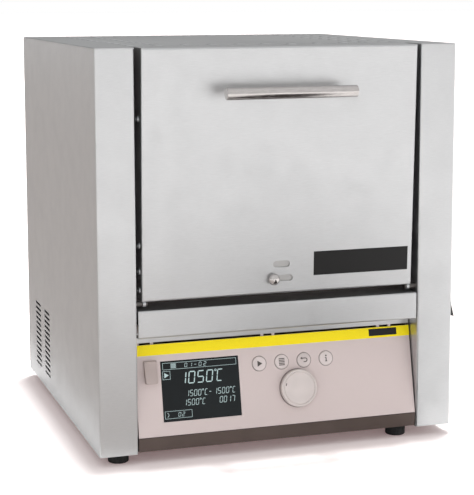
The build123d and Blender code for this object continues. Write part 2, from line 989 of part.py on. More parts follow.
def door_screws():
    """Round-headed screws in both side flanges of the door."""
    screws = []
    for side in (-1, 1):
        for level in screw_heights():
            face = side * door_half
            head = rod(
                screw_head_diameter / 2, (face, screw_back, level),
                (face + side * screw_head_height, screw_back, level),
            )
            outer = head.edges().sort_by(Axis.X)[-1 if side > 0 else 0]
            head = fillet(outer, screw_head_height * 0.6)
            shank = rod(
                screw_diameter / 2, (face, screw_back, level), (face - side * screw_length, screw_back, level)
            )
            screws.append(head + shank)
    return group(screws)


def door_liner():
    """The plate that closes the door's back round the insulation pad."""
    half = door_half - door_wall
    plate = block(
        -half, half, door_back - frame_sheet, door_back, door_bottom + door_wall, door_top - door_wall
    )
    window = block(
        -collar_half, collar_half, door_back - 5, door_back + 5, collar_bottom, collar_top
    )
    return plate - window


def door_insulation():
    """The door's fibre board with its sealing pad, tapered plug and air channel."""
    low = door_bottom + board_inset_below
    high = door_top - board_inset_above
    half = door_half - board_inset_side
    back = door_back - frame_sheet
    face = door_wall / math.cos(lean)
    outline = Polyline(
        (door_face(low) + face, low), (door_face(high) + face, high), (back, high), (back, low), close=True
    )
    board = along_x(make_face(outline), half)
    pad_face = door_back - frame_sheet + pad_thickness
    board += block(
        -collar_half + seal_gap, collar_half - seal_gap, back, pad_face,
        collar_bottom + seal_gap, collar_top - seal_gap,
    )
    base = Plane.XZ.offset(-pad_face) * Pos(0, door_middle) * Rectangle(
        chamber_width - 2 * plug_inset, chamber_height - 2 * plug_inset
    )
    board += extrude(base, amount=-plug_length, taper=plug_draft)
    pocket_top = inlet_level + inlet_height / 2 + slide_margin + 4 * guide_lip
    pocket = slide_strip(
        -knob_left + inlet_travel / 2, -1, pocket_top, slide_half() + inlet_travel + 3, -slide_pocket - door_wall, 1
    )
    channel_top = chamber_floor + air_hole_diameter
    channel = slide_strip(
        0, inlet_level, (channel_top - door_bottom) / face_rise, air_hole_diameter / 2,
        -slide_pocket - door_wall - 6, 1,
    )
    hole_level = chamber_floor + air_hole_diameter / 2 + plug_inset + 3
    hole = rod(air_hole_diameter / 2, (0, 0, hole_level), (0, chamber_front, hole_level))
    return board - pocket - channel - hole


def handle_bar():
    """The round pull bar, chamfered at its ends."""
    place = on_door(0, bar_level, bar_stand)
    bar = Rot(0, 90, 0) * Cylinder(bar_diameter / 2, bar_length)
    bar = chamfer(bar.edges().filter_by(GeomType.CIRCLE), bar_chamfer)
    return place * bar


def handle_posts():
    """The two round posts between door and bar, hollowed to the bar's round."""
    x = bar_length / 2 - post_inset
    posts = []
    for side in (-1, 1):
        post = Cylinder(post_diameter / 2, bar_stand, align=(Align.CENTER, Align.CENTER, Align.MIN))
        post = Pos(side * x, 0, 0) * post
        post -= Pos(0, 0, bar_stand) * Rot(0, 90, 0) * Cylinder(bar_diameter / 2, 2 * bar_length)
        posts.append(on_door(0, bar_level) * post)
    return group(posts)


# Controller

def panel_section():
    """The fascia's side view: the sloped face and the upright lip behind the sill."""
    rise = panel_face_length
    fold_y = panel_setback + rise * math.sin(slope)
    fold_z = panel_foot + rise * math.cos(slope)
    corners = [(panel_setback, panel_foot), (fold_y, fold_z), (fold_y, fold_z + panel_lip)]
    return folded(corners, lip_bend, panel_sheet)


def web_places():
    """Where webs stay between the bend slots: near both ends of the panel and in the middle."""
    left = [-panel_half + inset for inset in web_left_insets]
    right = [panel_half - inset for inset in web_right_insets]
    return left + list(web_middle_places) + right


def controller_fascia():
    """The sloped front plate with every opening, and the row of bend slots under its lip."""
    plate = along_x(panel_section(), panel_half)
    cuts = []
    window = Pos(display_side, display_low + display_height / 2)
    cuts.append(window * Rectangle(display_width + 2 * glass_gap, display_height + 2 * glass_gap))
    for x in key_places():
        cuts.append(Pos(x, key_level) * Circle(key_diameter / 2 + key_gap))
    cuts.append(Pos(dial_side, dial_level) * Circle(plunger_diameter / 2 + key_gap))
    port = Pos(usb_side, usb_level - usb_mouth_height * 0.08)
    cuts.append(port * Rectangle(usb_mouth_width + 2 * glass_gap, usb_mouth_height + 2 * glass_gap))
    for cut in cuts:
        plate -= extrude(panel_plane * cut, amount=2 * panel_sheet, both=True)
    edges = [-panel_half - web_width] + web_places() + [panel_half + web_width]
    for left, right in zip(edges[:-1], edges[1:]):
        length = right - left - web_width
        plate -= on_panel((left + right) / 2, panel_face_length) * Box(length, web_slot, 6 * panel_sheet)
    return plate


def fascia_stripe():
    """The coloured strip across the top of the fascia."""
    top_edge = panel_face_length - web_slot / 2 - 0.2
    strip = Pos(0, top_edge - stripe_width / 2) * Rectangle(2 * panel_half, stripe_width)
    return extrude(panel_plane * strip, amount=stripe_thickness)


def controller_housing():
    """The moulded tub behind the fascia, open to it, with the plinth below."""
    back = panel_setback + tub_depth
    rise = panel_face_length
    inset = panel_sheet / math.cos(slope)
    high = panel_foot + rise * math.cos(slope) + panel_lip - 4
    fold_y = panel_setback + rise * math.sin(slope)
    outer = Polyline(
        (plinth_setback, foot_height - plinth_drop),
        (panel_setback, panel_foot - tub_gap),
        (panel_setback + inset, panel_foot - tub_gap),
        (fold_y + inset, panel_foot + rise * math.cos(slope)),
        (fold_y + inset, high),
        (back, high),
        (back, tray_top),
        (plinth_setback + plinth_foot, tray_top),
        (plinth_setback + plinth_foot, foot_height - plinth_drop),
        close=True,
    )
    inner = Polyline(
        (panel_setback - 1, panel_foot + tub_rim),
        (fold_y - 1, high - tub_rim),
        (fold_y + inset, high - tub_wall),
        (back - tub_wall, high - tub_wall),
        (back - tub_wall, tray_top + tub_wall),
        (plinth_setback + plinth_foot + tub_wall, tray_top + tub_wall),
        (plinth_setback + plinth_foot + tub_wall, panel_foot + tub_rim),
        close=True,
    )
    tub = along_x(make_face(outer), panel_half)
    tub -= along_x(make_face(inner), panel_half - tub_wall)
    return tub


def display_window():
    """The dark glass pane set flush into the fascia."""
    pane = on_panel(display_side, display_low + display_height / 2)
    glass = Box(display_width, display_height, glass_thickness, align=(Align.CENTER, Align.CENTER, Align.MAX))
    glass = fillet(glass.edges().filter_by(Axis.Z), 1)
    return pane * glass


def display_module():
    """The liquid-crystal module behind the glass, between fascia and board."""
    pane = on_panel(display_side, display_low + display_height / 2, -panel_sheet)
    size = (display_width + 2 * display_module_rim, display_height + display_module_rim, display_module_depth)
    module = Box(*size, align=(Align.CENTER, Align.CENTER, Align.MAX))
    feet_depth = board_depth - panel_sheet - display_module_depth
    for x in (-1, 1):
        for y in (-1, 1):
            module += Pos(x * size[0] * 0.45, y * size[1] * 0.42, -size[2]) * Cylinder(
                2, feet_depth, align=(Align.CENTER, Align.CENTER, Align.MAX)
            )
    return pane * module


def key_places():
    """Sideways places of the four keys."""
    return [key_first + key * key_pitch for key in range(4)]


def panel_key(x):
    """A round key: crowned cap, flange behind the fascia and stem to its switch."""
    radius = key_diameter / 2
    behind = -panel_sheet - running_gap
    crown = (radius ** 2 + key_crown ** 2) / (2 * key_crown)
    arc = RadiusArc((0, key_stand + key_crown), (radius, key_stand), crown)
    outline = Polyline(
        (radius, key_stand),
        (radius, behind),
        (radius + key_flange, behind),
        (radius + key_flange, behind - key_flange_thickness),
        (2, behind - key_flange_thickness),
        (2, -board_depth + key_switch_size / 2 + key_travel + key_gap),
        (0, -board_depth + key_switch_size / 2 + key_travel + key_gap),
        (0, key_stand + key_crown),
    )
    key = revolve(Plane.XZ * make_face(arc + outline), axis=Axis.Z)
    return on_panel(x, key_level) * key


def controller_board():
    """The circuit board with a switch behind each key and rows of parts."""
    middle = board_low + board_height / 2
    board = on_panel(0, middle, -board_depth) * Box(
        board_width, board_height, board_thickness, align=(Align.CENTER, Align.CENTER, Align.MAX)
    )
    for x in key_places():
        switch = Box(key_switch_size, key_switch_size, key_switch_size / 2, align=(Align.CENTER, Align.CENTER, Align.MIN))
        board += on_panel(x, key_level, -board_depth) * switch
    for step in range(3):
        chip = Box(
            chip_length, chip_width, chip_height - chip_step * step, align=(Align.CENTER, Align.CENTER, Align.MAX)
        )
        board += on_panel(chip_first + chip_pitch * step, middle, -board_depth - board_thickness) * chip
    return board


def dial_encoder():
    """The encoder's square body on the board, bored for the plunger."""
    body = on_panel(dial_side, dial_level, -board_depth) * Box(
        encoder_size, encoder_size, encoder_depth, align=(Align.CENTER, Align.CENTER, Align.MIN)
    )
    bore = on_panel(dial_side, dial_level, -board_depth + 1) * Cylinder(
        plunger_diameter / 2 + 2 * running_gap, 4 * encoder_depth, align=(Align.CENTER, Align.CENTER, Align.MIN)
    )
    return body - bore


def dial_plunger():
    """The sleeve that slides in the encoder when the dial is pressed."""
    low = -board_depth + 1 + dial_travel + seal_gap
    high = key_gap
    sleeve = on_panel(dial_side, dial_level, low) * Cylinder(
        plunger_diameter / 2, high - low, align=(Align.CENTER, Align.CENTER, Align.MIN)
    )
    bore = on_panel(dial_side, dial_level, low + 1) * Cylinder(
        spindle_diameter / 2 + running_gap, 4 * encoder_depth, align=(Align.CENTER, Align.CENTER, Align.MIN)
    )
    return sleeve - bore


def jog_dial():
    """The flat turning knob with its rounded rim and spindle."""
    radius = dial_diameter / 2
    low = -board_depth + 1 + dial_travel + seal_gap + 1 + seal_gap
    disc = Pos(0, 0, dial_gap) * Cylinder(
        radius, dial_height, align=(Align.CENTER, Align.CENTER, Align.MIN)
    )
    disc = fillet(disc.edges().sort_by(Axis.Z)[-1], dial_edge)
    disc -= Pos(-radius * 0.72, 0, dial_gap + dial_height + 4.4) * Sphere(5)
    spindle = Pos(0, 0, low) * Cylinder(
        spindle_diameter / 2, dial_gap - low + 1, align=(Align.CENTER, Align.CENTER, Align.MIN)
    )
    return on_panel(dial_side, dial_level) * (disc + spindle)


def usb_socket():
    """The port's metal shell with its contact tongue, standing on the board."""
    centre = usb_level - usb_mouth_height * 0.08
    base = on_panel(usb_side, centre, -board_depth)
    reach = board_depth - 0.2
    shell = Box(usb_mouth_width, usb_mouth_height, reach, align=(Align.CENTER, Align.CENTER, Align.MIN))
    hollow = Box(
        usb_mouth_width - 2 * usb_wall, usb_mouth_height - 2 * usb_wall, usb_length,
        align=(Align.CENTER, Align.CENTER, Align.MIN),
    )
    tongue = Box(usb_tongue, usb_mouth_height - 1.6, reach - 3, align=(Align.CENTER, Align.CENTER, Align.MIN))
    hollow = Pos(0, 0, 2) * hollow - tongue
    return base * (shell - hollow)


def usb_axis_rise():
    """How far up the panel the USB cover's pin lies."""
    return usb_level + usb_cover_height / 2 - usb_knuckle_diameter / 2


def usb_bezel():
    """The thin frame round the port, with two ears and the pin that carries the cover."""
    half = usb_cover_width / 2
    low = usb_level - usb_cover_height / 2 + usb_cover_width / 2
    high = usb_level + usb_cover_height / 2
    frame = on_panel(usb_side, low) * Box(
        usb_cover_width, high - low, usb_bezel_thickness, align=(Align.CENTER, Align.MIN, Align.MIN)
    )
    centre = usb_level - usb_mouth_height * 0.08
    frame -= on_panel(usb_side, centre) * Box(
        usb_mouth_width + 2 * glass_gap, usb_mouth_height + 2 * glass_gap, 4 * usb_bezel_thickness
    )
    lift = usb_bezel_thickness + 0.1 + usb_knuckle_diameter / 2
    for side in (-1, 1):
        ear = Box(usb_ear, usb_knuckle_diameter, lift, align=(Align.CENTER, Align.CENTER, Align.MIN))
        ear += Pos(0, 0, lift) * Rot(0, 90, 0) * Cylinder(usb_knuckle_diameter / 2, usb_ear)
        frame += on_panel(usb_side + side * (half - usb_ear / 2), usb_axis_rise()) * ear
    pin = on_panel(usb_side, usb_axis_rise(), lift) * Rot(0, 90, 0) * Cylinder(
        usb_pin_diameter / 2, usb_cover_width - usb_ear
    )
    return frame + pin


def usb_cover():
    """The cover flap: hinged at its upper edge, and thicker towards its lower end for a finger."""
    half = usb_cover_width / 2 - usb_ear - 0.2
    low_half = usb_cover_width / 2 - usb_cover_taper
    full = usb_cover_width / 2
    radius = usb_knuckle_diameter / 2
    lift = usb_bezel_thickness + 0.1 + radius
    neck = radius + 0.3
    length = usb_cover_height - radius
    outline = Polyline(
        (-low_half, -length), (-full, -neck), (-half, -neck), (-half, 0),
        (half, 0), (half, -neck), (full, -neck), (low_half, -length),
        close=True,
    )
    flap = extrude(make_face(outline), amount=usb_cover_toe)
    flap = fillet(flap.edges().filter_by(Axis.Z).sort_by(Axis.Y)[:2], usb_cover_corner)
    wedge = Polyline(
        (1, 0), (1, usb_cover_thickness), (-neck, usb_cover_thickness),
        (-length - 1, usb_cover_toe), (-length - 1, 0),
        close=True,
    )
    flap &= extrude(Plane.YZ * make_face(wedge), amount=usb_cover_width, both=True)
    flap = Pos(0, 0, -radius) * flap
    knuckle = Rot(0, 90, 0) * Cylinder(radius, 2 * half)
    flap += knuckle
    flap -= Rot(0, 90, 0) * Cylinder(usb_pin_diameter / 2 + running_gap, 3 * full)
    return on_panel(usb_side, usb_axis_rise(), lift) * flap


# Mains switch

def power_switch_body():
    """The snap-in switch: bezel on the side panel, hollow body behind it, open to the rocker."""
    level = bottom + switch_level
    bezel = block(
        half_width, half_width + switch_bezel,
        switch_back - switch_width / 2, switch_back + switch_width / 2,
        level - switch_height / 2, level + switch_height / 2,
    )
    bezel = chamfer(bezel.faces().sort_by(Axis.X)[-1].edges(), 0.6)
    margin = switch_body_margin + 0.1
    body = block(
        half_width - switch_body_depth, half_width,
        switch_back - switch_width / 2 + margin, switch_back + switch_width / 2 - margin,
        level - switch_height / 2 + margin, level + switch_height / 2 - margin,
    )
    y_half = rocker_width / 2 + rocker_gap
    z_half = rocker_height / 2 + rocker_gap + 0.6
    well = block(
        half_width - rocker_height * 0.42, half_width + 10,
        switch_back - y_half, switch_back + y_half, level - z_half, level + z_half,
    )
    switch = bezel + body - well
    pin = rod(
        rocker_hub / 2,
        (half_width - 1, switch_back - y_half - 0.5, level), (half_width - 1, switch_back + y_half + 0.5, level),
    )
    return switch + pin


def power_rocker():
    """The rocker at its on position: upper end pressed in, lower end standing out."""
    level = bottom + switch_level
    half = rocker_height / 2
    tilt = math.radians(rocker_swing / 2)
    crest = rocker_reach - half * math.sin(tilt)
    outline = Polyline(
        (-3.5, -half * 0.55), (crest + 0.4, -half), (crest, 0), (crest + 0.4, half), (-3.5, half * 0.55), close=True
    )
    face = make_face(outline)
    rocker = extrude(Plane.XZ * face, amount=rocker_width / 2, both=True)
    rocker -= Rot(90, 0, 0) * Cylinder(rocker_hub / 2 + running_gap, 2 * rocker_width)
    return Pos(half_width - 1, switch_back, level) * Rot(0, -rocker_swing / 2, 0) * rocker


# Power parts

def mains_inlet():
    """The appliance inlet in the rear cover: flange, body, socket well and three contact blades."""
    level = bottom + inlet_socket_level
    half = inlet_socket_width / 2
    rise = inlet_socket_height / 2
    flange = block(
        inlet_side - half, inlet_side + half, depth, depth + inlet_socket_flange, level - rise - 2, level + rise + 2
    )
    flange = fillet(flange.edges().filter_by(Axis.Y), 3)
    inner = half - inlet_socket_flange * 2 - 0.2
    body = block(
        inlet_side - inner, inlet_side + inner, depth - inlet_socket_depth, depth,
        level - rise + 0.2, level + rise - 0.2,
    )
    well = block(
        inlet_side - inner + 4, inlet_side + inner - 4, depth - inlet_socket_depth + 4, depth + 10,
        level - rise + 4, level + rise - 4,
    )
    socket = flange + body - well
    for x, z in ((-8, -2), (8, -2), (0, 3)):
        blade = block(
            inlet_side + x - 1, inlet_side + x + 1, depth - inlet_socket_depth + 2, depth - 3,
            level + z - 3, level + z + 3,
        )
        socket += blade
    return socket


def heat_sink():
    """The finned aluminium sink under the relay, fins down on the base plate."""
    low = tray_top
    high = low + sink_height
    x_low = sink_side - sink_width / 2
    sink = block(x_low, x_low + sink_width, sink_back, sink_back + sink_length, high - sink_base, high)
    pitch = (sink_width - sink_fin) / (sink_fins - 1)
    for fin in range(sink_fins):
        x = x_low + fin * pitch
        sink += block(x, x + sink_fin, sink_back, sink_back + sink_length, low, high)
    return sink


def solid_state_relay():
    """The relay block on the heat sink, with its four screw terminals."""
    low = tray_top + sink_height
    y_low = sink_back + (sink_length - relay_length) / 2
    relay = block(
        sink_side - relay_width / 2, sink_side + relay_width / 2, y_low, y_low + relay_length, low, low + relay_height
    )
    relay = fillet(relay.edges().filter_by(Axis.Z), 2)
    for x in (-1, 1):
        for y in (0.14, 0.86):
            place = Pos(sink_side + x * relay_width * 0.28, y_low + y * relay_length, low + relay_height)
            relay -= place * Box(10, 9, 10)
            relay += place * Pos(0, 0, -5) * Cylinder(3, 3, align=(Align.CENTER, Align.CENTER, Align.MIN))
    return relay


def terminal_block():
    """The mains terminal block: one funnel hole a pole from above."""
    x_low = inlet_side - terminal_length / 2
    y_low = terminal_back
    body = block(
        x_low, x_low + terminal_length, y_low, y_low + terminal_width, tray_top, tray_top + terminal_height
    )
    pitch = terminal_length / terminal_poles
    for pole in range(terminal_poles):
        x = x_low + (pole + 0.5) * pitch
        body -= Pos(x, y_low + terminal_width / 2, tray_top + terminal_height) * Cylinder(3, 12)
        body -= rod(2.2, (x, y_low - 1, tray_top + 5), (x, y_low + 6, tray_top + 5))
    return body


def fan_frame():
    """The fan's square frame with its round bore, motor plate, struts and spindle."""
    level = bottom + fan_level
    half = fan_size / 2
    back = panel_back
    front = back - fan_depth
    frame = block(fan_side - half, fan_side + half, front, back, level - half, level + half)
    frame = fillet(frame.edges().filter_by(Axis.Y), 5)
    frame -= rod(fan_bore / 2, (fan_side, front - 1, level), (fan_side, back + 1, level))
    motor = rod(fan_hub_diameter / 2, (fan_side, front, level), (fan_side, front + fan_strut_thickness, level))
    for turn in range(4):
        strut = Box(fan_bore / 2 + 3, fan_strut_thickness, fan_strut, align=(Align.MIN, Align.MIN, Align.CENTER))
        motor += Pos(fan_side, front, level) * Rot(0, 45 + 90 * turn, 0) * strut
    corner = Pos(fan_side, 0, level)
    holes = []
    for x in (-1, 1):
        for z in (-1, 1):
            hole = rod(2.2, (x * half * 0.89, front - 1, z * half * 0.89), (x * half * 0.89, back + 1, z * half * 0.89))
            holes.append(corner * hole)
    spindle = rod(
        fan_spindle_diameter / 2, (fan_side, front, level), (fan_side, back - 4, level)
    )
    return frame - holes + motor + spindle


def fan_rotor():
    """The fan wheel: hub cup and pitched blades."""
    level = bottom + fan_level
    front = panel_back - fan_depth + fan_strut_thickness + 1
    back = panel_back - 3
    hub_radius = fan_hub_diameter / 2
    tip = fan_bore / 2 - fan_tip_gap
    middle = (front + back) / 2
    hub = rod(hub_radius, (0, front, 0), (0, back, 0))
    hub = fillet(hub.edges().sort_by(Axis.Y)[-1], 2)
    blade = Box(tip * 2, fan_blade_thickness, (back - front) * 1.25, align=(Align.MIN, Align.CENTER, Align.CENTER))
    blade = Pos(0, middle, 0) * Rot(fan_blade_pitch, 0, 0) * blade
    sector = rod(tip, (0, front + 0.5, 0), (0, back - 0.5, 0))
    wheel = hub
    for turn in range(fan_blades):
        wheel += Rot(0, turn * 360 / fan_blades, 0) * (blade & sector)
    bore = fan_spindle_diameter / 2 + running_gap
    wheel -= rod(bore, (0, front - 1, 0), (0, panel_back - 4 + seal_gap, 0))
    return Pos(fan_side, 0, level) * wheel


def door_switch():
    """The safety switch behind the front frame, bored for its plunger."""
    x, z = door_switch_side, door_top - door_switch_drop
    body = block(
        x - door_switch_width / 2, x + door_switch_width / 2,
        frame_back, frame_back + door_switch_depth,
        z - door_switch_height / 2, z + door_switch_height / 2,
    )
    body = fillet(body.edges().filter_by(Axis.Y), 1)
    bore = switch_pin_diameter / 2 + running_gap
    return body - rod(bore, (x, frame_back - 1, z), (x, frame_back + switch_pin_grip + switch_pin_room, z))


def door_switch_plunger():
    """The switch's pin, held in by the closed door."""
    x, z = door_switch_side, door_top - door_switch_drop
    tip = door_back + switch_pin_gap
    pin = rod(switch_pin_diameter / 2, (x, tip, z), (x, frame_back + switch_pin_grip, z))
    return fillet(pin.edges().sort_by(Axis.Y)[0], 1)


# Every piece by its node name

nodes = {
    "side_panel_left": side_panel() - hinge_pin_hole(),
    "side_panel_right": mirror(side_panel() - hinge_pin_hole(), about=Plane.YZ) - switch_cutout(),
    "top_cover": top_cover(),
    "rear_cover": rear_cover(),
    "rear_screws": rear_screws(),
    "base_plate": base_plate(),
    "feet": feet(),
    "front_sill": front_sill(),
    "front_frame": front_frame(),
    "deck_plate": deck_plate(),
    "inner_shell": inner_shell(),
    "mouth_collar": mouth_collar(),
    "insulation_floor": insulation_floor(),
    "insulation_roof": insulation_roof(),
    "insulation_sides": insulation_sides(),
    "insulation_rear": insulation_rear(),
    "heating_plate_left": heating_plate(-1),
    "heating_plate_right": heating_plate(1),
    "heating_wire_left": heating_wire(-1),
    "heating_wire_right": heating_wire(1),
    "floor_tile": floor_tile(),
    "thermocouple": thermocouple(),
    "exhaust_tube": exhaust_tube(),
    "exhaust_flange": exhaust_flange(),
    "controller_housing": controller_housing(),
    "controller_fascia": controller_fascia(),
    "fascia_stripe": fascia_stripe(),
    "display_window": display_window(),
    "display_module": display_module(),
    "controller_board": controller_board(),
    "button_start": panel_key(key_places()[0]),
    "button_menu": panel_key(key_places()[1]),
    "button_back": panel_key(key_places()[2]),
    "button_info": panel_key(key_places()[3]),
    "dial_encoder": dial_encoder(),
    "dial_plunger": dial_plunger(),
    "jog_dial": jog_dial(),
    "usb_socket": usb_socket(),
    "usb_bezel": usb_bezel(),
    "usb_cover": usb_cover(),
    "power_switch_body": power_switch_body(),
    "power_rocker": power_rocker(),
    "mains_inlet": mains_inlet(),
    "heat_sink": heat_sink(),
    "solid_state_relay": solid_state_relay(),
    "terminal_block": terminal_block(),
    "fan_frame": fan_frame(),
    "fan_rotor": fan_rotor(),
    "door_switch": door_switch(),
    "door_switch_plunger": door_switch_plunger(),
    "door_shell": door_shell(),
    "door_liner": door_liner(),
    "door_insulation": door_insulation(),
    "door_screws": door_screws(),
    "hinge_arms": hinge_arms(),
    "hinge_pins": hinge_pins(),
    "handle_bar": handle_bar(),
    "handle_posts": handle_posts(),
    "air_slide_plate": air_slide_plate(),
    "air_slide_knob": air_slide_knob(),
}


def origin_shift():
    """The move that puts the origin under the middle of the whole object's box."""
    boxes = [shape.bounding_box() for shape in nodes.values()]
    x_middle = (min(box.min.X for box in boxes) + max(box.max.X for box in boxes)) / 2
    y_middle = (min(box.min.Y for box in boxes) + max(box.max.Y for box in boxes)) / 2
    return Pos(-x_middle, -y_middle, 0)


os.makedirs("parts", exist_ok=True)
shift = origin_shift()
for name, shape in nodes.items():
    export_step(shift * shape, "parts/" + name + ".step")
print("origin moved by", shift.position)
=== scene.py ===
import json
import math

import bmesh
import bpy
from mathutils import Matrix, Vector


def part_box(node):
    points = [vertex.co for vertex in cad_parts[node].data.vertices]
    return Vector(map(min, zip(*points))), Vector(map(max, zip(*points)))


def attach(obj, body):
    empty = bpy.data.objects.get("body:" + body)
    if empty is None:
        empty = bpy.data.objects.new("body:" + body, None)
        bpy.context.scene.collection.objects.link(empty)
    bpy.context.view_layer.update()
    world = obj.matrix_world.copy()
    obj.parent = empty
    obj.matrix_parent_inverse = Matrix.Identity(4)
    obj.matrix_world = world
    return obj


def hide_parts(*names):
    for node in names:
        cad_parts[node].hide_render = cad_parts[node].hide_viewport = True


# The looks of a bench-top muffle furnace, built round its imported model. Metres.

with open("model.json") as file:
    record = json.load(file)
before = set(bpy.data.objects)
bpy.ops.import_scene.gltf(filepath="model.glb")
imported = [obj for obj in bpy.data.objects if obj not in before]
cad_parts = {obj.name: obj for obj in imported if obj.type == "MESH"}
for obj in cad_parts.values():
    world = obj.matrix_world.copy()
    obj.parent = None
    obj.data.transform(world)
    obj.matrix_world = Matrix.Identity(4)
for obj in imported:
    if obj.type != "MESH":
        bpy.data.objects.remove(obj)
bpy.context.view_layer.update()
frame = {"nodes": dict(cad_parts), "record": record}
nodes = frame["nodes"]
scene = bpy.context.scene

MM = 0.001
top_low, top_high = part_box("top_cover")
CENTRE_X = (top_low.x + top_high.x) / 2
FRONT_Y = top_low.y


def at(x, y, z):
    """A place in the furnace's own millimetres, from its middle, the pillars' front and the bench."""
    return Vector((CENTRE_X + x * MM, FRONT_Y + y * MM, z * MM))


# Materials

def linear(code):
    """A hex sRGB colour as the linear values that shaders take."""
    values = [int(code[i:i + 2], 16) / 255 for i in (1, 3, 5)]
    return tuple(v / 12.92 if v <= 0.04045 else ((v + 0.055) / 1.055) ** 2.4 for v in values) + (1.0,)


class Graph:
    """A material's node tree with one short call for adding a node."""

    def __init__(self, name):
        self.material = bpy.data.materials.new(name)
        self.material.use_nodes = True
        self.tree = self.material.node_tree
        self.shader = self.tree.nodes["Principled BSDF"]
        self.shift = 0

    def add(self, kind, settings=None, **inputs):
        """Adds a node, sets its properties, and fills its inputs with values or with other nodes' outputs."""
        node = self.tree.nodes.new(kind)
        self.shift += 180
        node.location = (-1600 + self.shift, -300)
        for key, value in (settings or {}).items():
            setattr(node, key, value)
        for key, value in inputs.items():
            self.plug(node.inputs[int(key[1:]) if key[0] == "_" else key.replace("_", " ")], value)
        return node

    def plug(self, socket, value):
        """Links an output to a socket, or stores a constant on it."""
        if isinstance(value, bpy.types.NodeSocket):
            self.tree.links.new(value, socket)
        else:
            socket.default_value = value

    def surface(self, **inputs):
        """Fills the shader's own sockets."""
        for key, value in inputs.items():
            self.plug(self.shader.inputs[key.replace("_", " ")], value)

    def place(self, scale=(1, 1, 1)):
        """Object coordinates in millimetres, stretched."""
        coordinates = self.add("ShaderNodeTexCoord").outputs["Object"]
        mapping = self.add("ShaderNodeMapping", Vector=coordinates)
        mapping.inputs["Scale"].default_value = tuple(1000 * s for s in scale)
        return mapping.outputs["Vector"]

    def noise(self, where, scale, detail=3.0, roughness=0.55):
        """Noise with features of about 1/scale millimetres."""
        node = self.add("ShaderNodeTexNoise", Vector=where, Scale=scale, Detail=detail, Roughness=roughness)
        return node.outputs["Fac"]

    def spread(self, value, low, high, start=0.0, end=1.0):
        """Maps a value from one range to another, clamped."""
        node = self.add("ShaderNodeMapRange", Value=value)
        for key, number in (("From Min", start), ("From Max", end), ("To Min", low), ("To Max", high)):
            node.inputs[key].default_value = number
        return node.outputs["Result"]

    def mix(self, factor, first, second, blend="MIX"):
        """Mixes two colours."""
        node = self.add("ShaderNodeMix", {"data_type": "RGBA", "blend_type": blend})
        self.plug(node.inputs[0], factor)
        self.plug(node.inputs[6], first)
        self.plug(node.inputs[7], second)
        return node.outputs[2]

    def rounded(self, radius):
        """A normal that rounds every sharp edge by a radius in millimetres."""
        return self.add("ShaderNodeBevel", {"samples": 4}, Radius=radius * MM).outputs["Normal"]

    def bump(self, height, strength, distance, normal=None):
        """A bump of the given depth in millimetres."""
        node = self.add("ShaderNodeBump", Strength=strength, Distance=distance * MM, Height=height)
        if normal is not None:
            self.plug(node.inputs["Normal"], normal)
        return node.outputs["Normal"]


def brushed_steel(name, dark, light, rough, grain=(0.02, 1, 1), edge=0.5):
    """Ground stainless sheet: fine parallel grinding lines, faint cloudy smears and softly rounded edges."""
    g = Graph(name)
    where = g.place()
    lines = g.noise(g.place(grain), 6.0, 4.0, 0.7)
    clouds = g.noise(where, 0.012, 2.0)
    tone = g.mix(g.spread(lines, 0.0, 1.0, 0.3, 0.7), linear(dark), linear(light))
    tone = g.mix(g.spread(clouds, 0.0, 0.22, 0.35, 0.65), tone, linear(dark))
    prints = g.noise(where, 0.05, 4.0)
    ground = g.spread(lines, rough - 0.05, rough + 0.06, 0.3, 0.7)
    touched = g.spread(prints, -0.02, 0.05, 0.4, 0.7)
    roughness = g.add("ShaderNodeMath", {"operation": "ADD"}, _0=ground, _1=touched).outputs[0]
    normal = g.bump(lines, 0.12, 0.02, g.rounded(edge))
    g.surface(Base_Color=tone, Metallic=1.0, Roughness=roughness, Normal=normal, Anisotropic=0.35)
    return g.material


def cast_polymer(name, colour, rough, grain=0.9, edge=0.4, strength=0.25, sheen=0.0):
    """Moulded plastic: an even colour with slight clouding, and the fine spark-eroded grain of its mould."""
    g = Graph(name)
    where = g.place()
    clouds = g.noise(where, 0.03, 2.0)
    pits = g.noise(where, 1.0 / grain * 2.0, 3.0)
    base = linear(colour)
    deep = tuple(c * 0.86 for c in base[:3]) + (1.0,)
    tone = g.mix(g.spread(clouds, 0.0, 1.0, 0.35, 0.65), base, deep)
    normal = g.bump(pits, strength, 0.03, g.rounded(edge))
    g.surface(Base_Color=tone, Roughness=g.spread(pits, rough - 0.05, rough + 0.08, 0.3, 0.7), Normal=normal)
    if sheen:
        g.surface(Coat_Weight=sheen, Coat_Roughness=0.12)
    return g.material


def powder_coat(name, colour, rough, edge=0.5):
    """Sprayed coating on steel: the shallow orange-peel ripple of baked paint."""
    g = Graph(name)
    where = g.place()
    peel = g.noise(where, 0.9, 2.0)
    fine = g.noise(where, 4.0, 2.0)
    base = linear(colour)
    light = tuple(min(1.0, c * 1.06) for c in base[:3]) + (1.0,)
    tone = g.mix(g.spread(fine, 0.0, 1.0, 0.3, 0.7), base, light)
    normal = g.bump(peel, 0.18, 0.04, g.rounded(edge))
    g.surface(Base_Color=tone, Roughness=g.spread(fine, rough - 0.04, rough + 0.05, 0.3, 0.7), Normal=normal)
    return g.material


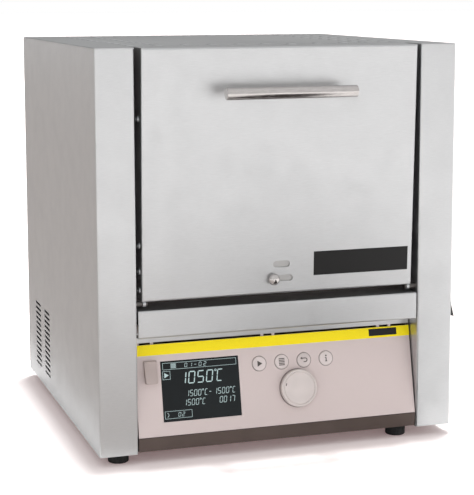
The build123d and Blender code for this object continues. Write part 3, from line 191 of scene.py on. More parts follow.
def fibre_board(name, light, dark):
    """Vacuum-formed ceramic fibre: chalky, felted strands, shallow pits and faint scorching."""
    g = Graph(name)
    where = g.place()
    strands = g.noise(g.place((1, 0.35, 1)), 0.9, 6.0, 0.7)
    lumps = g.noise(where, 0.12, 4.0, 0.6)
    scorch = g.noise(where, 0.02, 3.0)
    tone = g.mix(g.spread(strands, 0.0, 1.0, 0.3, 0.7), linear(dark), linear(light))
    tone = g.mix(g.spread(scorch, 0.0, 0.35, 0.5, 0.75), tone, linear("#b59c7d"))
    height = g.add("ShaderNodeMath", {"operation": "ADD"}, _0=strands, _1=lumps).outputs[0]
    g.surface(Base_Color=tone, Roughness=0.95, Normal=g.bump(height, 0.55, 0.5, g.rounded(0.8)))
    return g.material


def fired_ceramic(name, light, dark):
    """Dense fired ceramic: fine grains, small iron specks and a warm, uneven body colour."""
    g = Graph(name)
    where = g.place()
    body = g.noise(where, 0.05, 3.0)
    grains = g.noise(where, 2.2, 3.0)
    specks = g.add("ShaderNodeTexVoronoi", Vector=where, Scale=0.45).outputs["Distance"]
    tone = g.mix(g.spread(body, 0.0, 1.0, 0.3, 0.7), linear(light), linear(dark))
    tone = g.mix(g.spread(specks, 0.35, 0.0, 0.03, 0.16), tone, linear("#6d5138"))
    g.surface(Base_Color=tone, Roughness=0.72, Normal=g.bump(grains, 0.3, 0.08, g.rounded(0.6)))
    return g.material


def oxidised_wire(name):
    """Heating alloy after firing: dull grey oxide with brown blushes."""
    g = Graph(name)
    where = g.place()
    patches = g.noise(where, 0.25, 4.0)
    tone = g.mix(g.spread(patches, 0.0, 1.0, 0.35, 0.65), linear("#5c5650"), linear("#3c332c"))
    g.surface(Base_Color=tone, Metallic=0.45, Roughness=0.62, Normal=g.bump(patches, 0.3, 0.05))
    return g.material


def moulded_rubber(name):
    """Black rubber foot: matt, with fine pores, slightly lighter where it is scuffed."""
    g = Graph(name)
    where = g.place()
    pores = g.noise(where, 1.6, 4.0)
    scuffs = g.noise(g.place((1, 1, 0.3)), 0.35, 3.0)
    tone = g.mix(g.spread(scuffs, 0.0, 1.0, 0.45, 0.75), linear("#1b1b1b"), linear("#353433"))
    g.surface(Base_Color=tone, Roughness=0.82, Normal=g.bump(pores, 0.35, 0.08))
    return g.material


def signal_film(name, colour):
    """Printed self-adhesive film: strong colour with a thin clear top layer and a faint pebble."""
    g = Graph(name)
    where = g.place()
    pebble = g.noise(where, 1.4, 2.0)
    base = linear(colour)
    deep = tuple(c * 0.94 for c in base[:3]) + (1.0,)
    tone = g.mix(g.spread(pebble, 0.0, 1.0, 0.35, 0.65), base, deep)
    g.surface(Base_Color=tone, Roughness=0.42, Coat_Weight=0.06, Coat_Roughness=0.25, Specular_IOR_Level=0.3,
              Normal=g.bump(pebble, 0.1, 0.02, g.rounded(0.2)))
    return g.material


def polished_steel(name):
    """Turned and polished bar: bright, with faint lengthwise draw lines and soft handling marks."""
    g = Graph(name)
    draw = g.noise(g.place((0.03, 1, 1)), 3.0, 4.0, 0.7)
    marks = g.noise(g.place(), 0.12, 4.0)
    tone = g.mix(g.spread(draw, 0.0, 1.0, 0.35, 0.65), linear("#bcb7b5"), linear("#cfcbc9"))
    rough = g.add("ShaderNodeMath", {"operation": "ADD"}, _0=g.spread(draw, 0.14, 0.2, 0.35, 0.65),
                  _1=g.spread(marks, 0.0, 0.06, 0.45, 0.7)).outputs[0]
    normal = g.bump(draw, 0.06, 0.01, g.rounded(0.25))
    g.surface(Base_Color=tone, Metallic=1.0, Roughness=rough, Normal=normal)
    return g.material


def display_glass(name):
    """Dark display pane: nearly black liquid-crystal behind glossy glass with faint finger smears."""
    g = Graph(name)
    where = g.place()
    smears = g.noise(where, 0.06, 5.0)
    cells = g.noise(where, 0.02, 1.0)
    tone = g.mix(g.spread(cells, 0.0, 1.0, 0.3, 0.7), linear("#161b1d"), linear("#101416"))
    g.surface(Base_Color=tone, Roughness=g.spread(smears, 0.08, 0.2, 0.4, 0.7), Normal=g.rounded(0.3),
              Specular_IOR_Level=0.25)
    return g.material


def lit_segments(name, colour, strength):
    """Backlit display characters: pale cyan light with slightly uneven brightness."""
    g = Graph(name)
    glow = g.noise(g.place(), 0.05, 2.0)
    g.surface(Base_Color=linear("#3c4648"), Emission_Color=linear(colour), Roughness=0.5,
              Emission_Strength=g.spread(glow, strength * 0.9, strength * 1.1, 0.3, 0.7))
    return g.material


def circuit_laminate(name):
    """Green solder resist over the weave of the glass laminate, with paler copper runs under it."""
    g = Graph(name)
    weave = g.noise(g.place((1, 1, 1)), 0.8, 2.0)
    runs = g.add("ShaderNodeTexBrick", Vector=g.place((0.05, 0.05, 0.05)), Scale=3.0).outputs["Fac"]
    tone = g.mix(g.spread(runs, 0.0, 0.6), linear("#14532d"), linear("#2b7a45"))
    g.surface(Base_Color=tone, Roughness=0.35, Normal=g.bump(weave, 0.15, 0.03, g.rounded(0.3)))
    return g.material


def printed_mark(name, colour):
    """Screen-printed ink: slightly uneven coverage and a matt surface."""
    g = Graph(name)
    cover = g.noise(g.place(), 1.2, 3.0)
    base = linear(colour)
    thin = tuple(c * 1.15 + 0.01 for c in base[:3]) + (1.0,)
    g.surface(Base_Color=g.mix(g.spread(cover, 0.0, 1.0, 0.5, 0.75), base, thin), Roughness=0.5)
    return g.material


finishes = {
    "front_steel": brushed_steel("ground_stainless_sheet", "#c2c3c4", "#d3d4d5", 0.36, (0.02, 1, 1)),
    "rear_steel": brushed_steel("mill_finish_steel_sheet", "#a9a8a6", "#bcbab8", 0.42, (1, 1, 0.03)),
    "slide_steel": brushed_steel("slide_plate_steel", "#b4b3b2", "#c4c3c2", 0.36),
    "pin_steel": brushed_steel("dark_pin_steel", "#5d5a58", "#757270", 0.45, (1, 1, 1), 0.2),
    "exhaust_steel": brushed_steel("heat_tinted_tube_steel", "#a89c8c", "#bcb3a8", 0.35, (1, 0.03, 1)),
    "zinc": brushed_steel("zinc_plated_steel", "#b4b6b8", "#cfd1d2", 0.3, (1, 1, 1), 0.2),
    "usb_metal": brushed_steel("tin_plated_shell", "#b9b9b9", "#cfcfcf", 0.28, (1, 1, 1), 0.1),
    "sink_aluminium": brushed_steel("extruded_aluminium", "#bcbdbf", "#d0d1d3", 0.38, (1, 0.02, 1), 0.2),
    "polished_steel": polished_steel("polished_stainless_bar"),
    "dark_frame": powder_coat("dark_baked_enamel", "#6f6662", 0.42),
    "fascia": powder_coat("warm_grey_panel_paint", "#c9bbb9", 0.42, 0.4),
    "fibre": fibre_board("vacuum_formed_fibre", "#efeae0", "#ddd4c4"),
    "plate_ceramic": fired_ceramic("heating_plate_ceramic", "#ddcfb4", "#cbb891"),
    "sheath_ceramic": fired_ceramic("thermocouple_ceramic", "#e9e0cf", "#d9cbb2"),
    "heating_wire": oxidised_wire("oxidised_heating_alloy"),
    "plinth_plastic": cast_polymer("dark_brown_plinth_polymer", "#54453f", 0.5),
    "module_plastic": cast_polymer("black_module_polymer", "#2b2b2c", 0.5),
    "key_plastic": cast_polymer("light_grey_key_polymer", "#d3c8c6", 0.42, 0.7, 0.3, 0.12),
    "dial_plastic": cast_polymer("warm_white_dial_polymer", "#d2c8c5", 0.36, 0.7, 0.4, 0.12),
    "plunger_plastic": cast_polymer("white_acetal", "#dcdcd6", 0.35),
    "usb_plastic": cast_polymer("warm_grey_cover_polymer", "#b9aaa6", 0.45, 0.7, 0.3, 0.1),
    "black_plastic": cast_polymer("black_appliance_polymer", "#1f1f20", 0.45),
    "rocker_plastic": cast_polymer("glossy_rocker_polymer", "#161617", 0.22, 1.2, 0.4, 0.06, 0.4),
    "terminal_plastic": cast_polymer("ivory_terminal_polymer", "#d8d3bf", 0.5),
    "yellow_film": signal_film("signal_yellow_film", "#ffe800"),
    "display_glass": display_glass("dark_display_glass"),
    "circuit_board": circuit_laminate("green_circuit_laminate"),
    "foot_rubber": moulded_rubber("black_moulded_rubber"),
}
glow = lit_segments("display_segments", "#cfe6e6", 0.72)
ink = printed_mark("dark_grey_print", "#4a4441")
# Brown-grey rings on the panel: round the keys they are print, round the dial a painted shade for the dark gap
# at its rim.
ring_print_and_gap_shade = printed_mark("brown_grey_ring_print_and_gap_shade", "#8d8280")
white_ink = printed_mark("white_switch_print", "#d8d8d6")
badge_black = signal_film("bare_black_film", "#121111")

slot_of = {part["node"]: part["material_slot"] for part in frame["record"]["subparts"]}
for name, node in nodes.items():
    node.data.materials.clear()
    node.data.materials.append(finishes[slot_of[name]])


# Planes and meshes of the scene's own pieces

class Place:
    """A plane of the furnace with its own millimetres: X to the right, Y up the face, Z out of it."""

    def __init__(self, origin, tilt=0.0):
        self.origin = Vector(origin)
        self.right = Vector((1, 0, 0))
        self.up = Vector((0, math.sin(tilt), math.cos(tilt)))
        self.out = Vector((0, -math.cos(tilt), math.sin(tilt)))

    def point(self, x, y, z=0.0):
        return self.origin + MM * (x * self.right + y * self.up + z * self.out)


PANEL_SLOPE = math.radians(12.5)
PANEL_FRONT, PANEL_FOOT, PANEL_FOLD = 0.4, 27.0, 93.2
PANEL = Place(at(0, PANEL_FRONT, PANEL_FOOT), PANEL_SLOPE)
DOOR_BOTTOM, DOOR_HALF = 164.0, 145
DOOR = Place(at(0, 3.5, DOOR_BOTTOM), math.radians(-1.95))
BAR_LEVEL, BAR_STAND = 206.8, 26.5
KNOB_PLACE = (-8.4, 15.7)
HOUSING_BACK, HOUSING_BOTTOM = 382, 11.0
PRINT_HEIGHTS = (0.02, 0.08)


def ring_radius(radius, angle, sides):
    """The radius of a circle, or of a regular polygon with the given flats."""
    if not sides:
        return radius
    half = math.pi / sides
    return radius / math.cos((angle + half) % (2 * half) - half)


def turned(bm, place, x, y, profile, segments=64):
    """Revolves a profile of (radius, height, flat sides) about the place's outward direction."""
    rings = []
    for radius, height, *sides in profile:
        if radius == 0:
            rings.append([bm.verts.new(place.point(x, y, height))])
            continue
        ring = []
        for step in range(segments):
            angle = 2 * math.pi * step / segments
            r = ring_radius(radius, angle, sides[0] if sides else 0)
            spot = place.point(x + r * math.cos(angle), y + r * math.sin(angle), height)
            ring.append(bm.verts.new(spot))
        rings.append(ring)
    for low, high in zip(rings[:-1], rings[1:]):
        for step in range(segments):
            after = (step + 1) % segments
            corners = [low[step % len(low)], low[after % len(low)]]
            corners += [high[after % len(high)], high[step % len(high)]]
            unique = list(dict.fromkeys(corners))
            if len(unique) > 2:
                bm.faces.new(unique)
    for ring, flip in ((rings[0], True), (rings[-1], False)):
        if len(ring) > 1:
            bm.faces.new(ring[::-1] if flip else ring)


def prism(bm, place, outline, low, high):
    """A flat piece: an outline drawn on a place, from one height to another."""
    floor = [bm.verts.new(place.point(x, y, low)) for x, y in outline]
    roof = [bm.verts.new(place.point(x, y, high)) for x, y in outline]
    bm.faces.new(floor[::-1])
    bm.faces.new(roof)
    for i in range(len(outline)):
        j = (i + 1) % len(outline)
        bm.faces.new((floor[i], floor[j], roof[j], roof[i]))


def bar(x_low, y_low, x_high, y_high):
    """The outline of an upright rectangle."""
    return [(x_low, y_low), (x_high, y_low), (x_high, y_high), (x_low, y_high)]


def hoop(bm, place, x, y, inner, outer, low, high, start=0.0, end=360.0, segments=48):
    """A flat ring, or a part of one."""
    count = max(3, int(segments * (end - start) / 360))
    whole = end - start >= 360
    angles = [math.radians(start + (end - start) * k / count) for k in range(count + (0 if whole else 1))]
    pairs = list(zip(angles, angles[1:])) + ([(angles[-1], angles[0])] if whole else [])
    loops = {}
    for angle in angles:
        c, s = math.cos(angle), math.sin(angle)
        loops[angle] = [bm.verts.new(place.point(x + r * c, y + r * s, z))
                        for r, z in ((inner, low), (outer, low), (outer, high), (inner, high))]
    for a, b in pairs:
        for k in range(4):
            n = (k + 1) % 4
            bm.faces.new((loops[a][k], loops[b][k], loops[b][n], loops[a][n]))
    if not whole:
        bm.faces.new(loops[angles[0]])
        bm.faces.new(loops[angles[-1]][::-1])


def piece(name, bm, body, material, stands_for=(), smooth=38):
    """Turns a bmesh into an object of the furnace: outward faces, smooth except at real edges."""
    bmesh.ops.recalc_face_normals(bm, faces=bm.faces)
    mesh = bpy.data.meshes.new(name)
    bm.to_mesh(mesh)
    bm.free()
    return dress(name, mesh, body, material, stands_for, smooth)


def dress(name, mesh, body, material, stands_for=(), smooth=38):
    """Puts a mesh into the scene and parents it to the empty of the body it belongs to."""
    mesh.name = name
    mesh.materials.clear()
    mesh.materials.append(material)
    mesh.polygons.foreach_set("use_smooth", [True] * len(mesh.polygons))
    mesh.set_sharp_from_angle(angle=math.radians(smooth))
    made = bpy.data.objects.new(name, mesh)
    scene.collection.objects.link(made)
    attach(made, body)
    for node in stands_for:
        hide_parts(node)
    return made


# Repeated pieces by Geometry Nodes

def stamping_tree():
    """Puts one shape on every point, faces it along the point's own direction and turns it at random."""
    tree = bpy.data.node_groups.new("stamp_on_points", "GeometryNodeTree")
    given_values = (("Geometry", "Geometry"), ("Stamp", "Object"), ("Finish", "Material"), ("Seed", "Int"))
    for label, kind in given_values:
        tree.interface.new_socket(label, in_out="INPUT", socket_type="NodeSocket" + kind)
    tree.interface.new_socket("Geometry", in_out="OUTPUT", socket_type="NodeSocketGeometry")

    def node(kind, **settings):
        made = tree.nodes.new(kind)
        for key, value in settings.items():
            setattr(made, key, value)
        return made

    given, result = node("NodeGroupInput"), node("NodeGroupOutput")
    facing = node("GeometryNodeInputNamedAttribute", data_type="FLOAT_VECTOR")
    facing.inputs["Name"].default_value = "facing"
    align = node("FunctionNodeAlignRotationToVector", axis="Z")
    spin = node("FunctionNodeRandomValue", data_type="FLOAT")
    spin.inputs[3].default_value = 2 * math.pi
    about = node("FunctionNodeAxisAngleToRotation")
    about.inputs["Axis"].default_value = (0, 0, 1)
    turn = node("FunctionNodeRotateRotation", rotation_space="LOCAL")
    source = node("GeometryNodeObjectInfo")
    stamps = node("GeometryNodeInstanceOnPoints")
    real = node("GeometryNodeRealizeInstances")
    finish = node("GeometryNodeSetMaterial")
    for start, end in (
        (facing.outputs["Attribute"], align.inputs["Vector"]),
        (given.outputs["Seed"], spin.inputs["Seed"]),
        (spin.outputs[1], about.inputs["Angle"]),
        (align.outputs["Rotation"], turn.inputs["Rotation"]),
        (about.outputs["Rotation"], turn.inputs["Rotate By"]),
        (given.outputs["Stamp"], source.inputs["Object"]),
        (given.outputs["Geometry"], stamps.inputs["Points"]),
        (source.outputs["Geometry"], stamps.inputs["Instance"]),
        (turn.outputs["Rotation"], stamps.inputs["Rotation"]),
        (stamps.outputs["Instances"], real.inputs["Geometry"]),
        (real.outputs["Geometry"], finish.inputs["Geometry"]),
        (given.outputs["Finish"], finish.inputs["Material"]),
        (finish.outputs["Geometry"], result.inputs["Geometry"]),
    ):
        tree.links.new(start, end)
    return tree


STAMPING = stamping_tree()


def stamped(name, places, stamp_mesh, body, material, stands_for=(), seed=11):
    """Repeats a shape at (place, direction) pairs and keeps the result as one plain mesh."""
    points = bpy.data.meshes.new(name + "_points")
    points.from_pydata([tuple(where) for where, _ in places], [], [])
    facing = points.attributes.new("facing", "FLOAT_VECTOR", "POINT")
    for item, (_, direction) in zip(facing.data, places):
        item.vector = direction
    carrier = bpy.data.objects.new(name + "_points", points)
    stamp = bpy.data.objects.new(name + "_stamp", stamp_mesh)
    scene.collection.objects.link(carrier)
    scene.collection.objects.link(stamp)
    modifier = carrier.modifiers.new("stamps", "NODES")
    modifier.node_group = STAMPING
    values = {"Stamp": stamp, "Finish": material, "Seed": seed}
    for item in STAMPING.interface.items_tree:
        if item.in_out == "INPUT" and item.name in values:
            modifier[item.identifier] = values[item.name]
    graph = bpy.context.evaluated_depsgraph_get()
    mesh = bpy.data.meshes.new_from_object(carrier.evaluated_get(graph))
    carrier.modifiers.remove(modifier)
    for used in (carrier, stamp):
        bpy.data.objects.remove(used)
    return dress(name, mesh, body, material, stands_for)


SCREW = {"radius": 3.5, "height": 2.0, "shank": 2.0, "socket": 1.5}


def flat_place():
    """The plane of a stamp: its origin at zero and its Z straight up."""
    made = Place((0, 0, 0))
    made.up = Vector((0, 1, 0))
    made.out = Vector((0, 0, 1))
    return made


def screw_stamp(radius, height, shank, socket):
    """A domed screw head with a hexagon socket, on a short shank."""
    bm = bmesh.new()
    profile = [(shank, -2.4), (shank, 0), (radius, 0), (radius, height * 0.25)]
    for step in range(1, 6):
        angle = math.radians(15 * step)
        across, high = 0.25 + 0.75 * math.cos(angle), 0.25 + 0.75 * math.sin(angle)
        profile.append((radius * across, height * high))
    profile += [(socket * 1.12, height), (socket, height * 0.9, 6)]
    profile += [(socket * 0.96, height * 0.35, 6), (0, height * 0.25)]
    turned(bm, flat_place(), 0, 0, profile, 36)
    mesh = bpy.data.meshes.new("screw_stamp")
    bmesh.ops.recalc_face_normals(bm, faces=bm.faces)
    bm.to_mesh(mesh)
    bm.free()
    return mesh


# Door fittings

def handle():
    """The round bar with softly broken ends."""
    bm = bmesh.new()
    half, radius, blend = 68.0, 6.0, 0.8
    steps = [(half - blend + blend * math.sin(a), radius - blend + blend * math.cos(a))
             for a in (math.radians(15 * k) for k in range(7))]
    ring = [(-x, r) for x, r in steps[::-1]] + steps
    loops = []
    for x, r in ring:
        loops.append([bm.verts.new(DOOR.point(x, BAR_LEVEL + r * math.cos(t), BAR_STAND + r * math.sin(t)))
                      for t in (2 * math.pi * k / 96 for k in range(96))])
    for low, high in zip(loops[:-1], loops[1:]):
        for k in range(96):
            n = (k + 1) % 96
            bm.faces.new((low[k], low[n], high[n], high[k]))
    bm.faces.new(loops[0][::-1])
    bm.faces.new(loops[-1])
    material = finishes["polished_steel"]
    piece("polished_handle_bar", bm, "door", material, ("handle_bar",))


def slide_knob():
    """The air slide's turned knob: neck, undercut and a smooth dome."""
    bm = bmesh.new()
    radius, height, widest = 6.0, 8.0, 3.6
    profile = [(2.4, -1.8), (2.4, 1.0), (radius * 0.9, widest - 0.8), (radius, widest - 0.3)]
    for step in range(1, 13):
        angle = math.radians(7.5 * step)
        across = radius * math.cos(angle) if step < 12 else 0
        profile.append((across, widest + (height - widest) * math.sin(angle)))
    turned(bm, DOOR, *KNOB_PLACE, profile, 72)
    material = finishes["polished_steel"]
    piece("turned_slide_knob", bm, "air_slide", material, ("air_slide_knob",))


def door_badge():
    """A bare black film plate, low on the door at its right."""
    bm = bmesh.new()
    low, high = 180.6 - DOOR_BOTTOM, 205.3 - DOOR_BOTTOM
    prism(bm, DOOR, bar(35.5, low, 139.7, high), 0.0, 0.12)
    piece("door_badge_film", bm, "door", badge_black)


def stripe_badge():
    """A bare black film plate at the right end of the yellow stripe."""
    bm = bmesh.new()
    prism(bm, PANEL, bar(104.0, 83.2, 135.5, 90.6), 0.4, 0.5)
    piece("stripe_badge_film", bm, "housing", badge_black)


def flange_screws():
    """Socket screws along both side flanges of the door."""
    places = []
    for side in (-1, 1):
        for level in (174.5, 193.5, 219.5, 344.5):
            places.append((at(side * DOOR_HALF, 12, level), (side, 0, 0)))
    stamp = screw_stamp(**SCREW)
    stamped("door_flange_screws", places, stamp, "door", finishes["zinc"], ("door_screws",))


def cover_screws():
    """Socket screws that hold the rear cover."""
    rise = 404.0 - 2 * 1.2
    places = []
    for side in (-1, 1):
        for share in (0.06, 0.35, 0.65, 0.94):
            places.append((at(side * 181, HOUSING_BACK, HOUSING_BOTTOM + rise * share), (0, 1, 0)))
    stamp = screw_stamp(**SCREW)
    stamped("rear_cover_screws", places, stamp, "housing", finishes["zinc"], ("rear_screws",))


# Heating coils

def coil_line(back):
    """The heating wire's route on its plate in Y and Z: in, three turns with round corners, and out again."""
    levels = [285 + 24 * (run - 1.5) for run in range(4)]
    near, far, bend = 74.0, 186.0, 11.9
    corners = [(back, levels[0])]
    for run, level in enumerate(levels[:-1]):
        turn = near if run % 2 == 0 else far
        corners += [(turn, level), (turn, levels[run + 1])]
    corners.append((back, levels[-1]))
    line = [Vector(corners[0])]
    for before, corner, after in zip(corners[:-2], corners[1:-1], corners[2:]):
        corner = Vector(corner)
        come = (corner - Vector(before)).normalized()
        leave = (Vector(after) - corner).normalized()
        centre = corner - come * bend + leave * bend
        for step in range(13):
            angle = math.radians(7.5 * step)
            line.append(centre - leave * bend * math.cos(angle) + come * bend * math.sin(angle))
    line.append(Vector(corners[-1]))
    return line


def walk(line, pitch):
    """Evenly spaced points along a line, each with its direction."""
    spots, left = [], 0.0
    for start, end in zip(line[:-1], line[1:]):
        length = (end - start).length
        if length < 1e-9:
            continue
        way = (end - start) / length
        while left <= length:
            spots.append((start + way * left, way))
            left += pitch
        left -= length
    return spots


def tube(bm, points, radius, sides):
    """A round bar through a row of points."""
    loops = []
    for index, point in enumerate(points):
        ahead = points[min(index + 1, len(points) - 1)] - points[max(index - 1, 0)]
        if loops:
            side = side - ahead * side.dot(ahead) / ahead.length_squared
        else:
            side = ahead.orthogonal().normalized()
        side = side.normalized()
        other = ahead.cross(side).normalized()
        loops.append([bm.verts.new(point + radius * (side * math.cos(a) + other * math.sin(a)))
                      for a in (2 * math.pi * k / sides for k in range(sides))])
    for low, high in zip(loops[:-1], loops[1:]):
        for k in range(sides):
            n = (k + 1) % sides
            bm.faces.new((low[k], low[n], high[n], high[k]))
    bm.faces.new(loops[0][::-1])
    bm.faces.new(loops[-1])


def heating_coils():
    """Wound heating wire in the grooves of both plates, with straight leads out to the rear."""
    wound, wire, advance, corners = 2.4, 0.6, 2.6, 14
    for side, name in ((-1, "heating_wire_left"), (1, "heating_wire_right")):
        lead_end = (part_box(name)[1].y - FRONT_Y) / MM
        x = side * 84.5
        bm = bmesh.new()
        points = []
        for index, (spot, way) in enumerate(walk(coil_line(196.0), advance / corners)):
            angle = 2 * math.pi * index / corners
            in_plane = Vector((way.y, -way.x)) * wound * math.cos(angle)
            points.append(at(x + wound * math.sin(angle), spot.x + in_plane.x, spot.y + in_plane.y))
        tube(bm, points, wire * MM, 6)
        for level in (249.0, 321.0):
            tube(bm, [at(x, 195.0, level), at(x, lead_end - 0.2, level)], 1.3 * MM, 12)
        piece("wound_coil" + name[12:], bm, "housing", finishes["heating_wire"], (name,))


# Control panel

KEYS = (("button_start", -19.3), ("button_menu", 5.1), ("button_back", 29.5), ("button_info", 53.9))
KEY_LEVEL = 64.3
KEY_FACE = 1.02
DIAL_ROOT = -10.3


def key_faces():
    """A sign on each key: start, list, back and information."""
    low, high = KEY_FACE - 0.5, KEY_FACE
    for name, x in KEYS:
        y = KEY_LEVEL
        bm = bmesh.new()
        if name == "button_start":
            prism(bm, PANEL, [(x - 2.0, y - 3.1), (x + 3.2, y), (x - 2.0, y + 3.1)], low, high)
        elif name == "button_menu":
            for row in range(5):
                rise = y - 3.2 + row * 1.6
                prism(bm, PANEL, bar(x - 3.1, rise - 0.45, x + 3.1, rise + 0.45), low, high)
        elif name == "button_back":
            prism(bm, PANEL, bar(x - 2.2, y + 1.5, x + 1.4, y + 2.4), low, high)
            prism(bm, PANEL, bar(x - 0.6, y - 2.3, x + 1.4, y - 1.4), low, high)
            hoop(bm, PANEL, x + 1.4, y + 0.05, 1.45, 2.35, low, high, -90, 90)
            prism(bm, PANEL, [(x - 4.0, y + 1.95), (x - 1.9, y + 0.5), (x - 1.9, y + 3.4)], low, high)
        else:
            prism(bm, PANEL, bar(x - 0.55, y - 3.1, x + 0.55, y + 0.9), low, high)
            prism(bm, PANEL, bar(x - 1.2, y - 3.3, x + 1.2, y - 2.6), low, high)
            prism(bm, PANEL, bar(x - 1.2, y + 0.4, x + 0.0, y + 1.1), low, high)
            turned(bm, PANEL, x, y + 2.7, [(0.85, low), (0.85, high)], 20)
        piece(name + "_print", bm, name, ink)


def dial_face():
    """The jog dial: a shallow dish with a polished bevel, over its spindle, and a printed pointer."""
    bm = bmesh.new()
    x, y, radius = 20.7, 36.4, 19.25
    foot, top = 0.9, 6.4
    profile = [(3.0, DIAL_ROOT), (3.0, foot), (radius - 1.4, foot), (radius - 0.3, foot + 0.5)]
    profile += [(radius, foot + 1.2), (radius, top - 1.6)]
    for step in range(1, 7):
        angle = math.radians(15 * step)
        profile.append((radius - 1.5 + 1.5 * math.cos(angle), top - 1.5 + 1.5 * math.sin(angle)))
    profile += [(radius - 2.2, top - 0.05), (radius - 2.5, top - 0.6), (radius - 2.9, top - 0.6)]
    profile += [(radius - 3.2, top - 0.1), (radius - 6, top - 0.3), (radius - 12, top - 0.45), (0, top - 0.5)]
    turned(bm, PANEL, x, y, profile, 128)
    piece("dished_jog_dial", bm, "jog_dial", finishes["dial_plastic"], ("jog_dial",))
    bm = bmesh.new()
    mark = [(x - 14.9, y + 3.4), (x - 14.1, y + 3.1), (x - 13.3, y + 5.6), (x - 14.1, y + 5.9)]
    prism(bm, PANEL, mark, top - 0.6, top - 0.1)
    piece("dial_pointer_print", bm, "jog_dial", ink)
    bm = bmesh.new()
    # Painted shade: a dark ring round the dial stands for the shadow in the gap at its rim.
    hoop(bm, PANEL, x, y, radius - 0.4, radius + 0.75, 0.01, 0.06, segments=128)
    # Printed rings round the keys.
    for _, side in KEYS:
        hoop(bm, PANEL, side, KEY_LEVEL, 7.55, 8.0, 0.01, 0.05, segments=64)
    piece("panel_ring_prints", bm, "housing", ring_print_and_gap_shade)


SEGMENTS = {
    "0": "abcdef", "1": "bc", "2": "abdeg", "5": "acdfg", "7": "abc", "C": "adef", "-": "g",
}


def sign(bm, text, x, y, width, height, stroke, pitch):
    """Seven-segment characters on the display, leaning slightly to the right."""
    lean = 0.14
    for index, letter in enumerate(text):
        left = x + index * pitch
        half = height / 2
        t = stroke / 2
        spots = {
            "a": (left, y + height, left + width, y + height), "g": (left, y + half, left + width, y + half),
            "d": (left, y, left + width, y), "f": (left, y + half, left, y + height),
            "b": (left + width, y + half, left + width, y + height), "e": (left, y, left, y + half),
            "c": (left + width, y, left + width, y + half),
        }
        for key in SEGMENTS[letter]:
            x0, y0, x1, y1 = spots[key]
            g = stroke * 0.18
            if y0 == y1:
                outline = [(x0 + g, y0), (x0 + t + g, y0 - t), (x1 - t - g, y0 - t), (x1 - g, y0),
                           (x1 - t - g, y0 + t), (x0 + t + g, y0 + t)]
            else:
                outline = [(x0, y0 + g), (x0 + t, y0 + t + g), (x0 + t, y1 - t - g), (x0, y1 - g),
                           (x0 - t, y1 - t - g), (x0 - t, y0 + t + g)]
            prism(bm, PANEL, [(px + (py - y) * lean, py) for px, py in outline], *PRINT_HEIGHTS)


def frame_box(bm, x_low, y_low, x_high, y_high, line):
    """A thin lit rectangle on the display."""
    for outline in (
        bar(x_low, y_low, x_high, y_low + line),
        bar(x_low, y_high - line, x_high, y_high),
        bar(x_low, y_low + line, x_low + line, y_high - line),
        bar(x_high - line, y_low + line, x_high, y_high - line),
    ):
        prism(bm, PANEL, outline, *PRINT_HEIGHTS)


def rocker_marks():
    """The printed stroke and ring on the two halves of the mains rocker."""
    swing = math.radians(12)
    out = Vector((math.cos(swing), 0, math.sin(swing)))
    up = Vector((-math.sin(swing), 0, math.cos(swing)))
    crest = 8.1 - 11 * math.sin(swing)
    lean = 0.4 / 11
    bm = bmesh.new()
    for half in (1, -1):
        face = Place(at(189, 14, 135) + crest * MM * out)
        face.right = Vector((0, 1, 0))
        face.up = (up + half * lean * out).normalized()
        face.out = (out - half * lean * up).normalized()
        if half > 0:
            prism(bm, face, bar(-0.35, 3.8, 0.35, 7.8), -0.1, 0.05)
        else:
            hoop(bm, face, 0, -6.0, 1.5, 2.1, -0.1, 0.05)
    piece("rocker_marks", bm, "power_rocker", white_ink)


def bright_lip():
    """The bare fold of the panel's sheet, above the slots and under the sill."""
    bm = bmesh.new()
    y = PANEL_FRONT + PANEL_FOLD * math.sin(PANEL_SLOPE)
    z = PANEL_FOOT + PANEL_FOLD * math.cos(PANEL_SLOPE)
    prism(bm, Place(at(0, y, z)), bar(-149.9, 1.1, 149.9, 11.5), 0.02, 0.14)
    piece("panel_lip_skin", bm, "housing", finishes["front_steel"])


def display_page():
    """The lit page: header, large reading, two rows of set values and a footer field."""
    left, top = -123.5, 74.3
    bm = bmesh.new()
    frame_box(bm, left + 2.0, top - 8.6, left + 79.6, top - 1.8, 0.32)
    for row in range(5):
        level = top - 7.4 + row
        prism(bm, PANEL, bar(left + 10.5, level, left + 16.0, level + 0.6), *PRINT_HEIGHTS)
    sign(bm, "01-02", left + 25, top - 7.0, 2.4, 3.6, 0.42, 5.0)
    frame_box(bm, left + 1.6, top - 18.4, left + 9.6, top - 10.0, 0.32)
    arrow = [(left + 3.4, top - 16.8), (left + 8.0, top - 14.2), (left + 3.4, top - 11.6)]
    prism(bm, PANEL, arrow, *PRINT_HEIGHTS)
    sign(bm, "1050", left + 18.6, top - 23.6, 6.0, 11.4, 1.05, 9.4)
    sign(bm, "C", left + 58.0, top - 23.6, 5.2, 11.4, 0.95, 9.4)
    hoop(bm, PANEL, left + 57.2, top - 12.6, 0.6, 1.15, *PRINT_HEIGHTS)
    for x, y, text in ((24.5, 36.6, "1500"), (54.0, 36.6, "1500"), (21.5, 45.6, "1500")):
        sign(bm, text, left + x, top - y, 2.7, 5.8, 0.5, 4.3)
        hoop(bm, PANEL, left + x + 18.2, top - y + 5.5, 0.45, 0.9, *PRINT_HEIGHTS)
        sign(bm, "C", left + x + 19.9, top - y, 2.5, 5.8, 0.5, 4.3)
    sign(bm, "-", left + 48.6, top - 36.6, 2.6, 5.8, 0.5, 4.3)
    sign(bm, "0017", left + 59.6, top - 45.6, 2.7, 5.8, 0.5, 4.3)
    frame_box(bm, left + 1.6, top - 57.6, left + 30.0, top - 50.0, 0.32)
    sign(bm, "02", left + 15.5, top - 55.9, 2.2, 4.0, 0.42, 4.0)
    hoop(bm, PANEL, left + 3.4, top - 53.8, 1.9, 2.35, *PRINT_HEIGHTS, -70, 70)
    piece("display_characters", bm, "housing", glow)


# Stage

